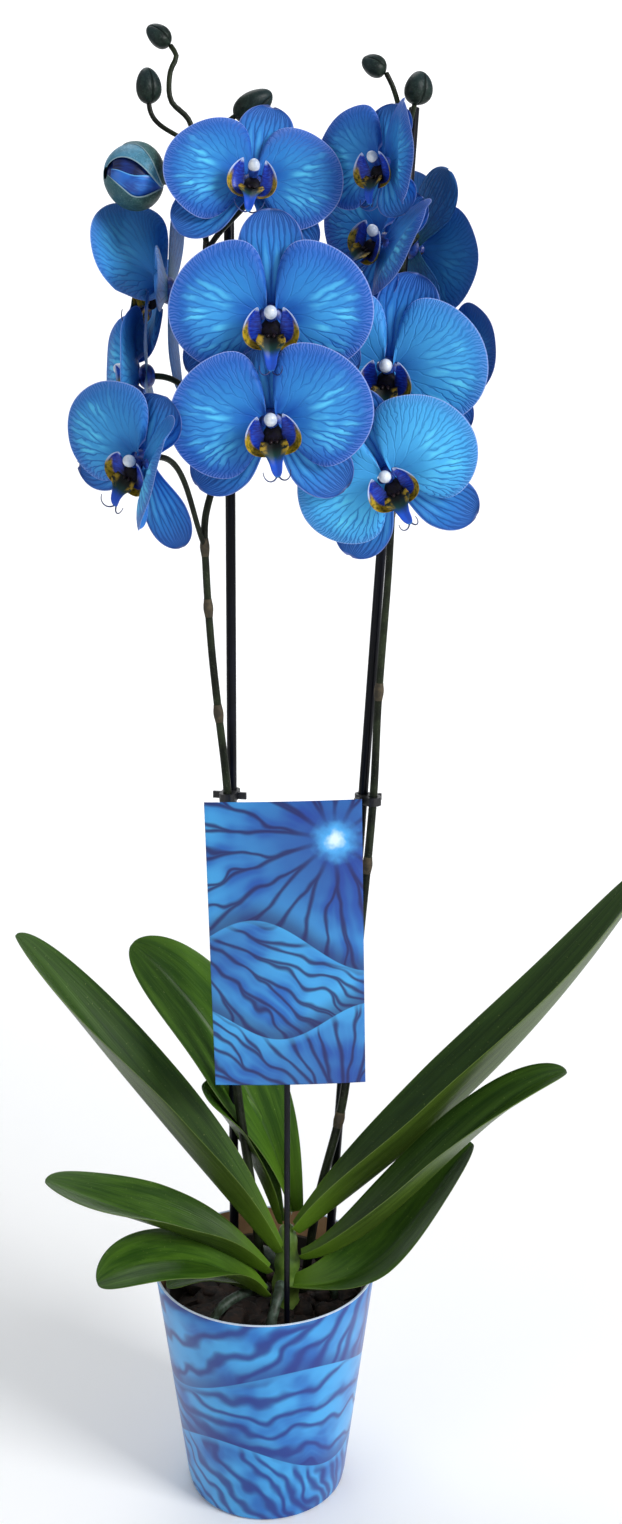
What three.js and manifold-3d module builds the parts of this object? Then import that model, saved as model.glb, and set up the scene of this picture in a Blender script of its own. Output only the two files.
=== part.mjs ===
// A moth orchid with two flower stems. It grows in bark in a thin nursery pot, which
// stands in a tapered card vase. Each stem is clipped to a stake, and a third, thin
// stake carries a card. Millimetres, +Z up, the origin at the centre of the vase's
// foot, the front of the plant towards -Y.
import * as THREE from "three";
import { mergeVertices } from "three/addons/utils/BufferGeometryUtils.js";
import Module from "manifold-3d";

const wasm = await Module();
wasm.setup();

// Driving dimensions
const GAP = 0.3; // clearance between pieces that touch on the real plant
const HOLE = 0.4; // clearance round a stake, a stem or a root in its hole
const VASE = { height: 130, rimRadius: 60, footRadius: 43.5, wall: 1.4, footBevel: 3, sides: 32 };
const POT = { top: 116, rimRadius: 54.6, footRadius: 39, wall: 1, rimDepth: 4, rimLip: 1, sides: 24 };
const BARK = { top: 101, sides: 24, chips: 16, chipLength: 24, chipWidth: 15, chipDepth: 11, tip: 28 };
const CROWN = { x: 11, y: -2, bottom: 78, top: 151, radius: 8 };
const STAKE = { radius: 2.5, capRadius: 3.1, capHeight: 5, foot: 14, sides: 10 };
const CLIP = { wall: 1.3, play: 0.45, height: 4.4, wing: 1.6, wingReach: 4.5 };
const CARD = { width: 75, height: 148, thickness: 0.8, bow: 1.5, roll: -1.2, centre: [13.2, -49.2, 331.5] };
const CARD_STAKE = { radius: 1.5, sides: 8, foot: [12, -37, 62], top: [13.7, -47.6, 372] };
const CARD_HEAD = { width: 9, height: 44, thickness: 1.2, rise: 24 };
const BLADE = 0.9; // thickness of a petal
const LEAF_RIB = 2.4; // thickness of a leaf along its midrib
const FLOWER = { petal: 43, sepal: 43, sepalWidth: 29, width: 90, back: 6.3 };

const COLOURS = {
  vase: 0x2f86d6, pot: 0x2a2522, bark: 0x2b1c14, root: 0x6d7f63, crown: 0x4f7031,
  leaf: 0x2f5522, stem: 0x2c3323, stake: 0x0d1018, clip: 0x0b0b0d, card: 0x2a7fd0,
  petals: 0x1f62e0, lip: 0x14288c, bud: 0x3c5f56,
};
const ROUGHNESS = { vase: 0.35, leaf: 0.4, stake: 0.4, clip: 0.4, card: 0.35, pot: 0.5 };

const group = new THREE.Group();

function addMesh(name, kind, solid) {
  const material = new THREE.MeshStandardMaterial({
    color: COLOURS[kind],
    roughness: ROUGHNESS[kind] ?? 0.6,
    metalness: 0,
  });
  const mesh = new THREE.Mesh(geometryOf(solid), material);
  mesh.name = name;
  group.add(mesh);
}

// A fixed sequence of numbers from 0 to 1, the same on each run
function randomFrom(seed) {
  let state = seed;
  return () => {
    state = (state * 1664525 + 1013904223) % 4294967296;
    return state / 4294967296;
  };
}

// Solids: a closed geometry as a manifold, and back
function solidOf(geometry) {
  const bare = new THREE.BufferGeometry();
  bare.setAttribute("position", geometry.getAttribute("position"));
  if (geometry.index) bare.setIndex(geometry.index);
  const merged = mergeVertices(bare, 1e-4);
  return new wasm.Manifold(
    new wasm.Mesh({
      numProp: 3,
      vertProperties: merged.attributes.position.array,
      triVerts: new Uint32Array(merged.index.array),
    }),
  );
}

function geometryOf(solid) {
  const mesh = solid.getMesh();
  const geometry = new THREE.BufferGeometry();
  geometry.setAttribute("position", new THREE.BufferAttribute(mesh.vertProperties, mesh.numProp));
  geometry.setIndex(new THREE.BufferAttribute(mesh.triVerts, 1));
  geometry.computeVertexNormals();
  return geometry;
}

const joined = (solids) => solids.reduce((all, next) => all.add(next));

// What is left of a solid once others are cut away: its largest piece
function trimmed(solid, cutters) {
  const cut = cutters.reduce((left, cutter) => left.subtract(cutter), solid);
  const pieces = cut.decompose();
  return pieces.reduce((best, piece) => (piece.volume() > best.volume() ? piece : best));
}

function closedMesh(points, faces) {
  const geometry = new THREE.BufferGeometry();
  geometry.setAttribute(
    "position",
    new THREE.BufferAttribute(new Float32Array(points.flatMap((p) => [p.x, p.y, p.z])), 3),
  );
  geometry.setIndex(faces.flat());
  return geometry;
}

// A thin blade: surface(across, along) offset to both sides by half the thickness, which
// is a function of the way across. Both faces are split alike, and a strip closes the margin.
function bladeSolid(surface, across, along, thickness) {
  const step = 1e-3;
  const front = [];
  const back = [];
  for (let j = 0; j <= along; j++) {
    for (let i = 0; i <= across; i++) {
      const u = i / across;
      const v = j / along;
      const du = surface(Math.min(u + step, 1), v).sub(surface(Math.max(u - step, 0), v));
      const dv = surface(u, Math.min(v + step, 1)).sub(surface(u, Math.max(v - step, 0)));
      const normal = du.cross(dv).normalize();
      front.push(surface(u, v).addScaledVector(normal, thickness(u) / 2));
      back.push(surface(u, v).addScaledVector(normal, -thickness(u) / 2));
    }
  }
  const row = across + 1;
  const shift = front.length;
  const faces = [];
  for (let j = 0; j < along; j++) {
    for (let i = 0; i < across; i++) {
      const [a, b, c, d] = [j * row + i, j * row + i + 1, (j + 1) * row + i + 1, (j + 1) * row + i];
      faces.push([a, b, c], [a, c, d]);
      faces.push([a + shift, c + shift, b + shift], [a + shift, d + shift, c + shift]);
    }
  }
  const rim = [];
  for (let i = 0; i < across; i++) rim.push(i);
  for (let j = 0; j < along; j++) rim.push(j * row + across);
  for (let i = across; i > 0; i--) rim.push(along * row + i);
  for (let j = along; j > 0; j--) rim.push(j * row);
  rim.forEach((a, k) => {
    const b = rim[(k + 1) % rim.length];
    faces.push([a, a + shift, b + shift], [a, b + shift, b]);
  });
  return solidOf(closedMesh([...front, ...back], faces));
}

// A round bar along a curve, its radius a function of the way along, with domed ends
function barSolid(curve, radius, sides, steps) {
  const dome = 0.3;
  const frames = curve.computeFrenetFrames(steps, false);
  const points = [];
  const faces = [];
  for (let j = 0; j <= steps; j++) {
    const centre = curve.getPointAt(j / steps);
    for (let i = 0; i < sides; i++) {
      const turn = (2 * Math.PI * i) / sides;
      const r = radius(j / steps);
      points.push(
        centre
          .clone()
          .addScaledVector(frames.normals[j], r * Math.cos(turn))
          .addScaledVector(frames.binormals[j], r * Math.sin(turn)),
      );
    }
  }
  for (let j = 0; j < steps; j++) {
    for (let i = 0; i < sides; i++) {
      const k = (i + 1) % sides;
      const [a, b, c, d] = [j * sides + i, j * sides + k, (j + 1) * sides + k, (j + 1) * sides + i];
      faces.push([a, b, c], [a, c, d]);
    }
  }
  const foot = points.length;
  const tip = foot + 1;
  const last = steps * sides;
  points.push(curve.getPointAt(0).addScaledVector(frames.tangents[0], -radius(0) * dome));
  points.push(curve.getPointAt(1).addScaledVector(frames.tangents[steps], radius(1) * dome));
  for (let i = 0; i < sides; i++) {
    const k = (i + 1) % sides;
    faces.push([foot, k, i], [tip, last + i, last + k]);
  }
  return solidOf(closedMesh(points, faces));
}

const vec = (x, y, z) => new THREE.Vector3(x, y, z);
const mix = THREE.MathUtils.lerp;
const rad = THREE.MathUtils.degToRad;
const smooth = (x) => THREE.MathUtils.smoothstep(x, 0, 1);
const route = (points) =>
  new THREE.CatmullRomCurve3(points.map((p) => vec(...p)), false, "centripetal");
const straight = (a, b) => new THREE.LineCurve3(vec(...a), vec(...b));
const cubic = (points) => new THREE.CubicBezierCurve3(...points.map((p) => vec(...p)));

// A profile of [radius, height] points turned round the upright axis
function turned(profile, sides) {
  const points = profile.map(([r, z]) => new THREE.Vector2(r, z));
  const lathe = new THREE.LatheGeometry(points, sides);
  lathe.rotateX(Math.PI / 2);
  const solid = solidOf(lathe);
  if (solid.volume() > 0) return solid;
  const other = new THREE.LatheGeometry(points.reverse(), sides);
  other.rotateX(Math.PI / 2);
  return solidOf(other);
}

// An ellipsoid round a centre, its long axis along a direction
function egg(centre, direction, length, width, sides, rings) {
  const sphere = new THREE.SphereGeometry(1, sides, rings);
  sphere.scale(width / 2, length / 2, width / 2);
  const turn = new THREE.Quaternion().setFromUnitVectors(vec(0, 1, 0), direction.clone().normalize());
  sphere.applyQuaternion(turn);
  sphere.translate(centre.x, centre.y, centre.z);
  return solidOf(sphere);
}

// The vase: a tapered cup of card with a flat foot
const vaseRadiusAt = (z) => mix(VASE.footRadius, VASE.rimRadius, z / VASE.height);

function makeVase() {
  const { height, wall, footBevel, sides } = VASE;
  return turned(
    [
      [0, 0],
      [VASE.footRadius - footBevel, 0],
      [vaseRadiusAt(footBevel) - 0.7, footBevel * 0.4],
      [vaseRadiusAt(footBevel * 2), footBevel * 2],
      [VASE.rimRadius, height],
      [VASE.rimRadius - wall, height],
      [vaseRadiusAt(footBevel * 2) - wall, footBevel * 2],
      [VASE.footRadius - footBevel - 0.4, wall],
      [0, wall],
    ],
    sides,
  );
}

// The nursery pot: a thin cup with a small turned-out rim, standing on the vase's floor
const potFloor = VASE.wall + GAP;
const potRadiusAt = (z) =>
  mix(POT.footRadius, POT.rimRadius - POT.rimLip, (z - potFloor) / (POT.top - potFloor));

function makePot() {
  const { top, wall, rimDepth, rimLip, sides } = POT;
  return turned(
    [
      [0, potFloor],
      [POT.footRadius - 1, potFloor],
      [POT.footRadius, potFloor + 1],
      [potRadiusAt(top - rimDepth), top - rimDepth],
      [potRadiusAt(top - rimDepth) + rimLip, top - rimDepth],
      [POT.rimRadius, top],
      [POT.rimRadius - rimLip - wall, top],
      [POT.footRadius - wall, potFloor + wall],
      [0, potFloor + wall],
    ],
    sides,
  );
}

// Bark: the filling of the pot, with chips of bark standing out of its top
function makeBark(holes) {
  const floor = potFloor + POT.wall + GAP;
  const inner = (z) => potRadiusAt(z) - POT.wall - 2 * GAP;
  const body = turned(
    [
      [0, floor],
      [inner(floor) - 1, floor],
      [inner(BARK.top), BARK.top - 1],
      [inner(BARK.top) - 4, BARK.top + 1],
      [0, BARK.top + 2],
    ],
    BARK.sides,
  );
  const random = randomFrom(11);
  const chips = [];
  for (let k = 0; k < BARK.chips; k++) {
    const reach = (inner(BARK.top) - BARK.chipLength * 0.55) * Math.sqrt((k + 0.5) / BARK.chips);
    const turn = rad(137.5 * k);
    const chip = new THREE.BoxGeometry(
      BARK.chipLength * mix(0.6, 1, random()),
      BARK.chipWidth * mix(0.6, 1, random()),
      BARK.chipDepth * mix(0.6, 1, random()),
    );
    chip.rotateX(rad(mix(-BARK.tip, BARK.tip, random())));
    chip.rotateY(rad(mix(-BARK.tip, BARK.tip, random())));
    chip.rotateZ(Math.PI * random());
    chip.translate(reach * Math.cos(turn), reach * Math.sin(turn), BARK.top + mix(0, 3.4, random()));
    chips.push(solidOf(chip));
  }
  return trimmed(joined([body, ...chips]), holes);
}

// Leaves: each is a keeled blade along a cubic curve. side is the direction of the near
// half at the foot and at the tip, and fold is how far the halves rise from flat.
const LEAVES = [
  {
    name: "leaf_left_long",
    keel: [[6, -9, 141], [-28, -15, 190], [-72, -22, 250], [-124, -20, 327]],
    side: [[0.1, -1, -0.25], [0, -1, -0.35]],
    fold: [66, 50, 24],
    half: 25,
  },
  {
    name: "leaf_left_back",
    keel: [[15, 13, 153], [0, 28, 208], [-32, 38, 264], [-73, 42, 299]],
    side: [[-0.75, -0.5, -0.1], [-0.75, -0.65, -0.3]],
    fold: [60, 30, 20],
    half: 26,
  },
  {
    name: "leaf_left_inner",
    keel: [[7, 13, 146], [-6, 17, 188], [-22, 17, 212], [-34, 15, 228]],
    side: [[-0.2, -1, -0.1], [-0.2, -1, -0.3]],
    fold: [66, 45, 24],
    half: 17,
  },
  {
    name: "leaf_left_low",
    keel: [[1, -13, 131], [-36, -24, 166], [-70, -40, 178], [-110, -46, 204]],
    side: [[0.1, -1, 0.05], [0.1, -1, 0]],
    fold: [60, 34, 16],
    half: 23,
  },
  {
    name: "leaf_left_lowest",
    keel: [[0, -16, 119], [-32, -34, 158], [-58, -54, 166], [-83, -62, 156]],
    side: [[0.2, -1, 0], [0.2, -1, -0.15]],
    fold: [55, 20, 12],
    half: 22,
  },
  {
    name: "leaf_left_small",
    keel: [[-6, -10, 117], [-22, -20, 136], [-36, -28, 140], [-51, -33, 136]],
    side: [[0.3, -1, 0], [0.3, -1, -0.1]],
    fold: [50, 30, 16],
    half: 10,
  },
  {
    name: "leaf_right_long",
    keel: [[19, -4, 150], [60, -4, 188], [128, 4, 228], [208, 24, 352]],
    side: [[-0.1, -1, 0], [0, -1, -0.1]],
    fold: [62, 44, 26],
    half: 29,
  },
  {
    name: "leaf_right_middle",
    keel: [[20, -10, 138], [70, -20, 152], [104, -24, 232], [156, -26, 255]],
    side: [[-0.1, -1, 0], [0, -1, -0.1]],
    fold: [60, 40, 22],
    half: 22,
  },
  {
    name: "leaf_right_low",
    keel: [[15, -8.5, 121], [56, -30, 128], [76, -10, 152], [112, 2, 200]],
    side: [[-0.1, -1, -0.3], [0.3, -0.9, -0.1]],
    fold: [52, 22, 24],
    half: 25,
  },
];

// Half the width of a leaf at a share u of its length: a narrow channelled foot, widest
// past the middle, a blunt tip
function leafHalf(u, half) {
  const widest = 0.56;
  if (u < widest) return half * mix(0.3, 1, Math.sin((Math.PI / 2) * (u / widest)));
  return half * Math.sqrt(Math.max(1 - ((u - widest) / (1.004 - widest)) ** 2.4, 0.0004));
}

function leafSurface(leaf) {
  const keel = cubic(leaf.keel);
  const [foot, tip] = leaf.side.map((p) => vec(...p).normalize());
  return (across, u) => {
    const v = 2 * across - 1;
    const along = keel.getTangent(u);
    const side = foot.clone().lerp(tip, u);
    side.addScaledVector(along, -side.dot(along)).normalize();
    const up = vec(0, 0, 0).crossVectors(along, side);
    if (up.z < 0) up.negate();
    const [a, b, c] = leaf.fold;
    const fold = rad(u < 0.5 ? mix(a, b, smooth(u * 2)) : mix(b, c, smooth(u * 2 - 1)));
    const out = v * leafHalf(u, leaf.half);
    const rise = Math.sqrt(out * out + 4) - 2;
    return keel
      .getPoint(u)
      .addScaledVector(side, out * Math.cos(fold))
      .addScaledVector(up, rise * Math.sin(fold));
  };
}

function leafSolid(leaf, extra) {
  const thickness = (u) => LEAF_RIB * (1 - 0.55 * (2 * u - 1) ** 2) + extra;
  return bladeSolid(leafSurface(leaf), 4, 9, thickness);
}

// The crown: the short stem that the leaves clasp, with the sheaths of old leaves
function makeCrown(extra) {
  const curve = route([
    [CROWN.x - 1, CROWN.y + 1, CROWN.bottom],
    [CROWN.x, CROWN.y, 110],
    [CROWN.x + 1, CROWN.y, 132],
    [CROWN.x + 1, CROWN.y + 1, CROWN.top],
  ]);
  const radius = (u) => CROWN.radius * (1 - 0.45 * u ** 3) * (1 + 0.07 * Math.cos(u * 34)) + extra;
  return barSolid(curve, radius, 8, 6);
}

// Aerial roots, from the crown into the bark
const ROOTS = [
  {
    name: "root_front",
    radius: 3.1,
    path: [[9, -12, 124], [7, -21, 121], [4, -28, 112], [2, -31, 96], [1, -31, 86]],
  },
  {
    name: "root_left",
    radius: 3,
    path: [[0, -4, 116], [-10, -15, 121], [-22, -25, 119], [-30, -29, 107], [-32, -30, 90]],
  },
  {
    name: "root_back",
    radius: 2.8,
    path: [[7, 9, 120], [0, 18, 126], [-8, 26, 121], [-13, 31, 106], [-14, 33, 90]],
  },
  {
    name: "root_right",
    radius: 2.8,
    path: [[21, 2, 114], [29, 5, 119], [36, 5, 113], [39, 4, 101], [39, 3, 88]],
  },
];

const rootSolid = (root, extra) =>
  barSolid(route(root.path), (u) => root.radius * (1 - 0.25 * u) + extra, 6, 6);

// Flower stems: main axis from the crown up past the clip to the last bud
const STEMS = [
  {
    name: "stem_left",
    radius: [2.5, 1.15],
    path: [
      [1, 7, 80], [-6, 7, 160], [-15, 6, 236], [-17.6, 6, 320], [-17.6, 6, 392],
      [-21.8, 5, 438], [-24.6, 4, 470], [-26.5, 2, 508], [-26.5, 0, 533], [-22, 0, 552],
      [-19.6, 0, 576], [-20.8, -2, 617], [-23.7, -4, 662], [-27.2, -5, 697], [-30.5, -6, 714],
      [-38.3, -8, 722], [-38.4, -8, 734], [-35.6, -6.5, 741], [-38.1, -5.2, 745.4],
    ],
  },
  {
    name: "stem_right",
    radius: [2.5, 1.15],
    path: [
      [17, 7, 80], [28.5, 10, 160], [42.5, 11.5, 222], [50, 12, 306], [56.9, 10, 389],
      [59, 9, 442], [63.1, 8, 503], [64.2, 6, 528], [65.2, 5, 566], [66.6, 5, 604],
      [67.9, 4, 645], [68.1, 3, 689], [65.8, 2, 718], [62.5, 1, 729], [59.4, 0.1, 734.7],
    ],
  },
];

// The joints of the stems, where a small dry bract wraps a sleeping eye
const NODES = [
  { stem: 0, from: 0.3 }, { stem: 0, from: 0.53 }, { stem: 0, from: 0.61 },
  { stem: 1, from: 0.2 }, { stem: 1, from: 0.42 }, { stem: 1, from: 0.56 },
];

// Blooms. at is the centre and facing is the azimuth and the elevation its face looks to,
// -90 being the plant's left. roll turns it in its own plane, width is across its petals,
// stem says which stem bears it and from how far up that stem its stalk leaves. fold bends
// the left and the right petal forward, sepals is the direction of the upper, the left and
// the right sepal, upper and lower are their lengths, and bend leads the stalk aside.
const BLOOMS = [
  {
    name: "bloom_01",
    at: [-0.8, -34, 684], facing: [4, 22], roll: -8, width: 80,
    stem: 0, from: 0.86,
    sepals: [84, 216, 318],
  },
  {
    name: "bloom_02",
    at: [7.4, -46, 626.5], facing: [0, -8], roll: 0, width: 91,
    stem: 0, from: 0.79,
  },
  {
    name: "bloom_03",
    at: [7.6, -50, 581], facing: [0, -9], roll: 7, width: 92,
    stem: 0, from: 0.72,
    sepals: [88, 214, 310], upper: 30,
  },
  {
    name: "bloom_04",
    at: [-44, -1, 640], facing: [-95, 0], roll: 40, width: 94,
    stem: 0, from: 0.8,
    fold: [30, 34],
  },
  {
    name: "bloom_05",
    at: [-54.5, -5, 601], facing: [-88, 0], roll: 2, width: 86,
    stem: 0, from: 0.72,
    fold: [26, 6], sepals: [58, 213, 320],
  },
  {
    name: "bloom_06",
    at: [-51.5, -47, 563.5], facing: [-33, -10], roll: -28, width: 85,
    stem: 0, from: 0.655,
    fold: [0, 45], sepals: [90, 213, 316], upper: 32,
  },
  {
    name: "bloom_07",
    at: [57, -38, 691], facing: [-38, 0], roll: 0, width: 72,
    stem: 1, from: 0.93,
    fold: [0, 32], sepals: [84, 216, 292], upper: 30, lower: 26,
  },
  {
    name: "bloom_08",
    at: [57.5, -18, 660], facing: [-42, 14], roll: -32, width: 79,
    stem: 1, from: 0.84,
    fold: [0, 26], sepals: [86, 213, 300], upper: 28, lower: 27,
  },
  {
    name: "bloom_09",
    at: [75, 28, 661], facing: [132, -4], roll: 36, width: 82,
    stem: 1, from: 0.89, bend: [10, -2, 2],
  },
  {
    name: "bloom_10",
    at: [61, -24, 604], facing: [-12, -8], roll: -5, width: 92,
    stem: 1, from: 0.79,
    sepals: [78, 213, 327], upper: 41,
  },
  {
    name: "bloom_11",
    at: [61.5, -37, 556], facing: [-8, -10], roll: 29, width: 88,
    stem: 1, from: 0.7,
    sepals: [90, 214, 306],
  },
  {
    name: "bloom_12",
    at: [89, 14, 608], facing: [118, -8], roll: 4, width: 78,
    stem: 1, from: 0.77,
    upper: 24,
  },
];

// A bloom's own frame: x to the right, y up to the dorsal sepal, z out of its face
function bloomMatrix(bloom) {
  const [azimuth, elevation] = bloom.facing.map(rad);
  const roll = rad(bloom.roll);
  const out = vec(
    Math.sin(azimuth) * Math.cos(elevation),
    -Math.cos(azimuth) * Math.cos(elevation),
    Math.sin(elevation),
  );
  const level = vec(Math.cos(azimuth), Math.sin(azimuth), 0);
  const rise = vec(0, 0, 0).crossVectors(out, level);
  const right = level.clone().multiplyScalar(Math.cos(roll)).addScaledVector(rise, Math.sin(roll));
  const up = rise.clone().multiplyScalar(Math.cos(roll)).addScaledVector(level, -Math.sin(roll));
  const scale = bloom.width / FLOWER.width;
  return new THREE.Matrix4()
    .makeBasis(right, up, out)
    .scale(vec(scale, scale, scale))
    .setPosition(...bloom.at);
}

// How far a petal reaches from its claw along a ray at this angle from its axis
function petalReach(angle) {
  const [limit, power, taper] = angle >= 0 ? [rad(88), 12, 0.25] : [rad(72), 12, 0.4];
  return FLOWER.petal * (1 - taper * Math.sin(angle) ** 2) * (1 - (Math.abs(angle) / limit) ** power);
}

// A petal is a fan of rays from its claw: rounded, broader than long, a little domed
function petalSurface(sideSign, foldDegrees) {
  const tilt = rad(5);
  return (across, along) => {
    const angle = rad(mix(-70, 85.5, across));
    const share = mix(0.09, 1, along);
    const reach = share * petalReach(angle);
    const out = reach * Math.cos(angle + tilt);
    const lift = reach * Math.sin(angle + tilt);
    const fold = rad(foldDegrees) * Math.min(out / 26, 1);
    const dome = 0.8 + 3.6 * Math.sin(share * 2.3) - 4.5 * share ** 2 * Math.sin(angle) ** 2;
    return vec(
      sideSign * (2 + out * Math.cos(fold) - dome * Math.sin(fold)),
      1 + lift,
      out * Math.sin(fold) + dome * Math.cos(fold),
    );
  };
}

// A sepal is an oval blade behind the petals, along a direction in the flower's plane
function sepalSurface(direction, length, width) {
  const turn = rad(direction);
  const widest = 0.6;
  return (across, along) => {
    const t = 2 * across - 1;
    const s = mix(0.04, 0.985, along);
    const round = Math.sqrt(1 - (Math.max(s - widest, 0) / (1 - widest)) ** 2.3);
    const half = (width / 2) * (s < widest ? mix(0.36, 1, smooth(s / widest)) : round);
    const reach = 2 + s * length;
    const x = reach * Math.cos(turn) - t * half * Math.sin(turn);
    const y = reach * Math.sin(turn) + t * half * Math.cos(turn);
    return vec(x, y, -2.4 - 3 * s * s + 1.4 * t * t * s);
  };
}

function makePetals(bloom) {
  const { fold = [0, 0], sepals = [90, 213, 327] } = bloom;
  const { upper = FLOWER.sepal, lower = FLOWER.sepal } = bloom;
  const { sepalWidth } = FLOWER;
  const [left, right] = [petalSurface(-1, fold[0]), petalSurface(1, fold[1])];
  return joined([
    egg(vec(0, 0, -1.9), vec(0, 0, 1), 8.8, 12, 6, 3),
    bladeSolid(right, 6, 2, () => BLADE),
    bladeSolid((across, along) => left(1 - across, along), 6, 2, () => BLADE),
    bladeSolid(sepalSurface(sepals[0], upper, sepalWidth), 4, 2, () => BLADE),
    bladeSolid(sepalSurface(sepals[1], lower, sepalWidth - 2), 3, 2, () => BLADE),
    bladeSolid(sepalSurface(sepals[2], lower, sepalWidth - 2), 3, 2, () => BLADE),
  ]);
}

// The lip: a column with its cap, two side lobes that stand up like a cup beside it, and
// a middle lobe that runs forward and down to a point
function makeLip() {
  const column = barSolid(straight([0, -0.4, 3.3], [0, 2.6, 10]), (u) => 2.2 + 0.5 * u, 5, 1);
  const cap = egg(vec(0, 3.4, 11), vec(0, 0.5, 1), 7.5, 6.8, 5, 3);
  const foot = egg(vec(0, -5, 7), vec(0, 0, 1), 7, 11, 6, 3);
  const middle = bladeSolid(middleLobe, 2, 3, () => BLADE);
  return joined([column, cap, foot, sideLobe(1), sideLobe(-1), middle]);
}

// A side lobe is ruled from a curve on the foot of the lip to the curve of its rim
const LOBE_ROOT = cubic([[1, -8.5, 7], [7, -11, 7], [9.5, -1, 7.4], [5, 2.5, 9.5]]);
const LOBE_RIM = cubic([[2.6, -13, 9.5], [16.5, -13, 11], [13.5, 1, 12.5], [5.6, 5.6, 13.2]]);
const MIDDLE_KEEL = cubic([[0, -7.5, 7.5], [0, -13, 11], [0, -16, 15], [0, -22, 12]]);

function sideLobe(sign) {
  const surface = (across, along) => {
    const share = sign > 0 ? 1 - across : across;
    const point = LOBE_ROOT.getPoint(along).lerp(LOBE_RIM.getPoint(along), share);
    return vec(sign * point.x, point.y, point.z);
  };
  return bladeSolid(surface, 1, 4, () => BLADE);
}

// The middle lobe widens to half way, then runs to a point, its sides lifted
function middleLobe(across, along) {
  const t = 2 * across - 1;
  const half = along < 0.5 ? mix(4.5, 6.6, smooth(2 * along)) : mix(6.6, 1, 2 * along - 1);
  const lift = Math.abs(t) * half;
  return MIDDLE_KEEL.getPoint(along).add(vec(t * half, 0.3 * lift, 0.35 * lift));
}

// Buds: place, the way the tip points, length and width, and where the stalk leaves.
// The last bud of each stem has no stalk of its own: the stem ends behind it.
const BUDS = [
  { name: "bud_left_top", at: [-43.6, -5, 749.6], to: [-0.8, 0, 0.6], size: [12.5, 9.5] },
  {
    name: "bud_left_upper",
    at: [-48.8, -6, 728.6], to: [-0.04, 0, 1], size: [15.5, 11.5],
    stem: 0, from: 0.925,
  },
  {
    name: "bud_left_behind",
    at: [-1.5, 0, 721.5], to: [0.85, 0, 0.5], size: [20, 12.5],
    stem: 0, from: 0.9,
  },
  {
    name: "bud_opening",
    at: [-54.5, -22, 688], to: [-0.86, -0.38, 0.1], size: [27, 28],
    stem: 0, from: 0.87,
  },
  { name: "bud_right_top", at: [53.6, 0, 738], to: [-0.85, 0, 0.45], size: [12, 9.5] },
  {
    name: "bud_right_upper",
    at: [73.8, 0, 728.6], to: [0.2, -0.1, 0.95], size: [14.5, 13],
    stem: 1, from: 0.94,
  },
];

// A closed bud: an egg with three flat faces where the sepals meet in ridges
function makeBud(bud) {
  const [length, width] = bud.size;
  const large = width > 20;
  const sphere = new THREE.SphereGeometry(1, large ? 11 : 9, large ? 7 : 5);
  const place = sphere.getAttribute("position");
  for (let k = 0; k < place.count; k++) {
    const p = vec(0, 0, 0).fromBufferAttribute(place, k);
    const turn = Math.atan2(p.z, p.x);
    const ridge = 1 + 0.07 * Math.cos(3 * turn) * (1 - p.y ** 4);
    const taper = 1 - 0.14 * p.y;
    place.setXYZ(k, p.x * ridge * taper, p.y, p.z * ridge * taper);
  }
  sphere.scale(width / 2, length / 2, width / 2);
  const towards = vec(...bud.to).normalize();
  sphere.applyQuaternion(new THREE.Quaternion().setFromUnitVectors(vec(0, 1, 0), towards));
  sphere.translate(...bud.at);
  return solidOf(sphere);
}

// A stalk from the stem to the back of a bloom or the foot of a bud
function stalkSolid(from, to, arriving, radii, bend = [0, 0, 0]) {
  const reach = from.distanceTo(to) * 0.42;
  const curve = new THREE.CubicBezierCurve3(
    from,
    from.clone().lerp(to, 0.3).add(vec(0, 0, reach * 0.25)).add(vec(...bend)),
    to.clone().addScaledVector(arriving, -reach).add(vec(...bend)),
    to,
  );
  return barSolid(curve, (u) => mix(radii[0], radii[1], u), 5, 5);
}

const stemCurve = (index) => route(STEMS[index].path);
const stemRadius = (index, u) => mix(STEMS[index].radius[0], STEMS[index].radius[1], u ** 1.5);

function makeStem(index) {
  const curve = stemCurve(index);
  const solids = [barSolid(curve, (u) => stemRadius(index, u), 6, 27)];
  for (const bloom of BLOOMS.filter((b) => b.stem === index)) {
    const matrix = bloomMatrix(bloom);
    const out = vec(0, 0, 1).transformDirection(matrix);
    const back = vec(0, 0, -FLOWER.back).applyMatrix4(matrix).addScaledVector(out, -GAP - 0.8);
    solids.push(stalkSolid(curve.getPointAt(bloom.from), back, out, [1.25, 1.5], bloom.bend));
  }
  for (const bud of BUDS.filter((b) => b.stem === index)) {
    const towards = vec(...bud.to).normalize();
    const foot = vec(...bud.at).addScaledVector(towards, -bud.size[0] / 2 - GAP - 0.4);
    solids.push(stalkSolid(curve.getPointAt(bud.from), foot, towards, [1, 1.15]));
  }
  for (const node of NODES.filter((n) => n.stem === index)) {
    const at = curve.getPointAt(node.from);
    const along = curve.getTangentAt(node.from);
    solids.push(egg(at, along, 9, 2 * stemRadius(index, node.from) + 1.6, 5, 3));
  }
  return joined(solids);
}

// Stakes, from the bark to above the blooms, each with a blunt cap
const STAKES = [
  { name: "stake_left", foot: [-18.6, 17, STAKE.foot], top: [-13.4, 12, 716], capped: true },
  { name: "stake_right", foot: [28, 20, STAKE.foot], top: [73, 13, 722], capped: false },
];

const onLine = (stake, z) => {
  const share = (z - stake.foot[2]) / (stake.top[2] - stake.foot[2]);
  return vec(...stake.foot).lerp(vec(...stake.top), share);
};

function makeStake(stake) {
  const bar = barSolid(straight(stake.foot, stake.top), () => STAKE.radius, STAKE.sides, 1);
  if (!stake.capped) return bar;
  const low = onLine(stake, stake.top[2] - STAKE.capHeight);
  const cap = barSolid(straight(low.toArray(), stake.top), () => STAKE.capRadius, STAKE.sides, 1);
  return bar.add(cap);
}

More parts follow.
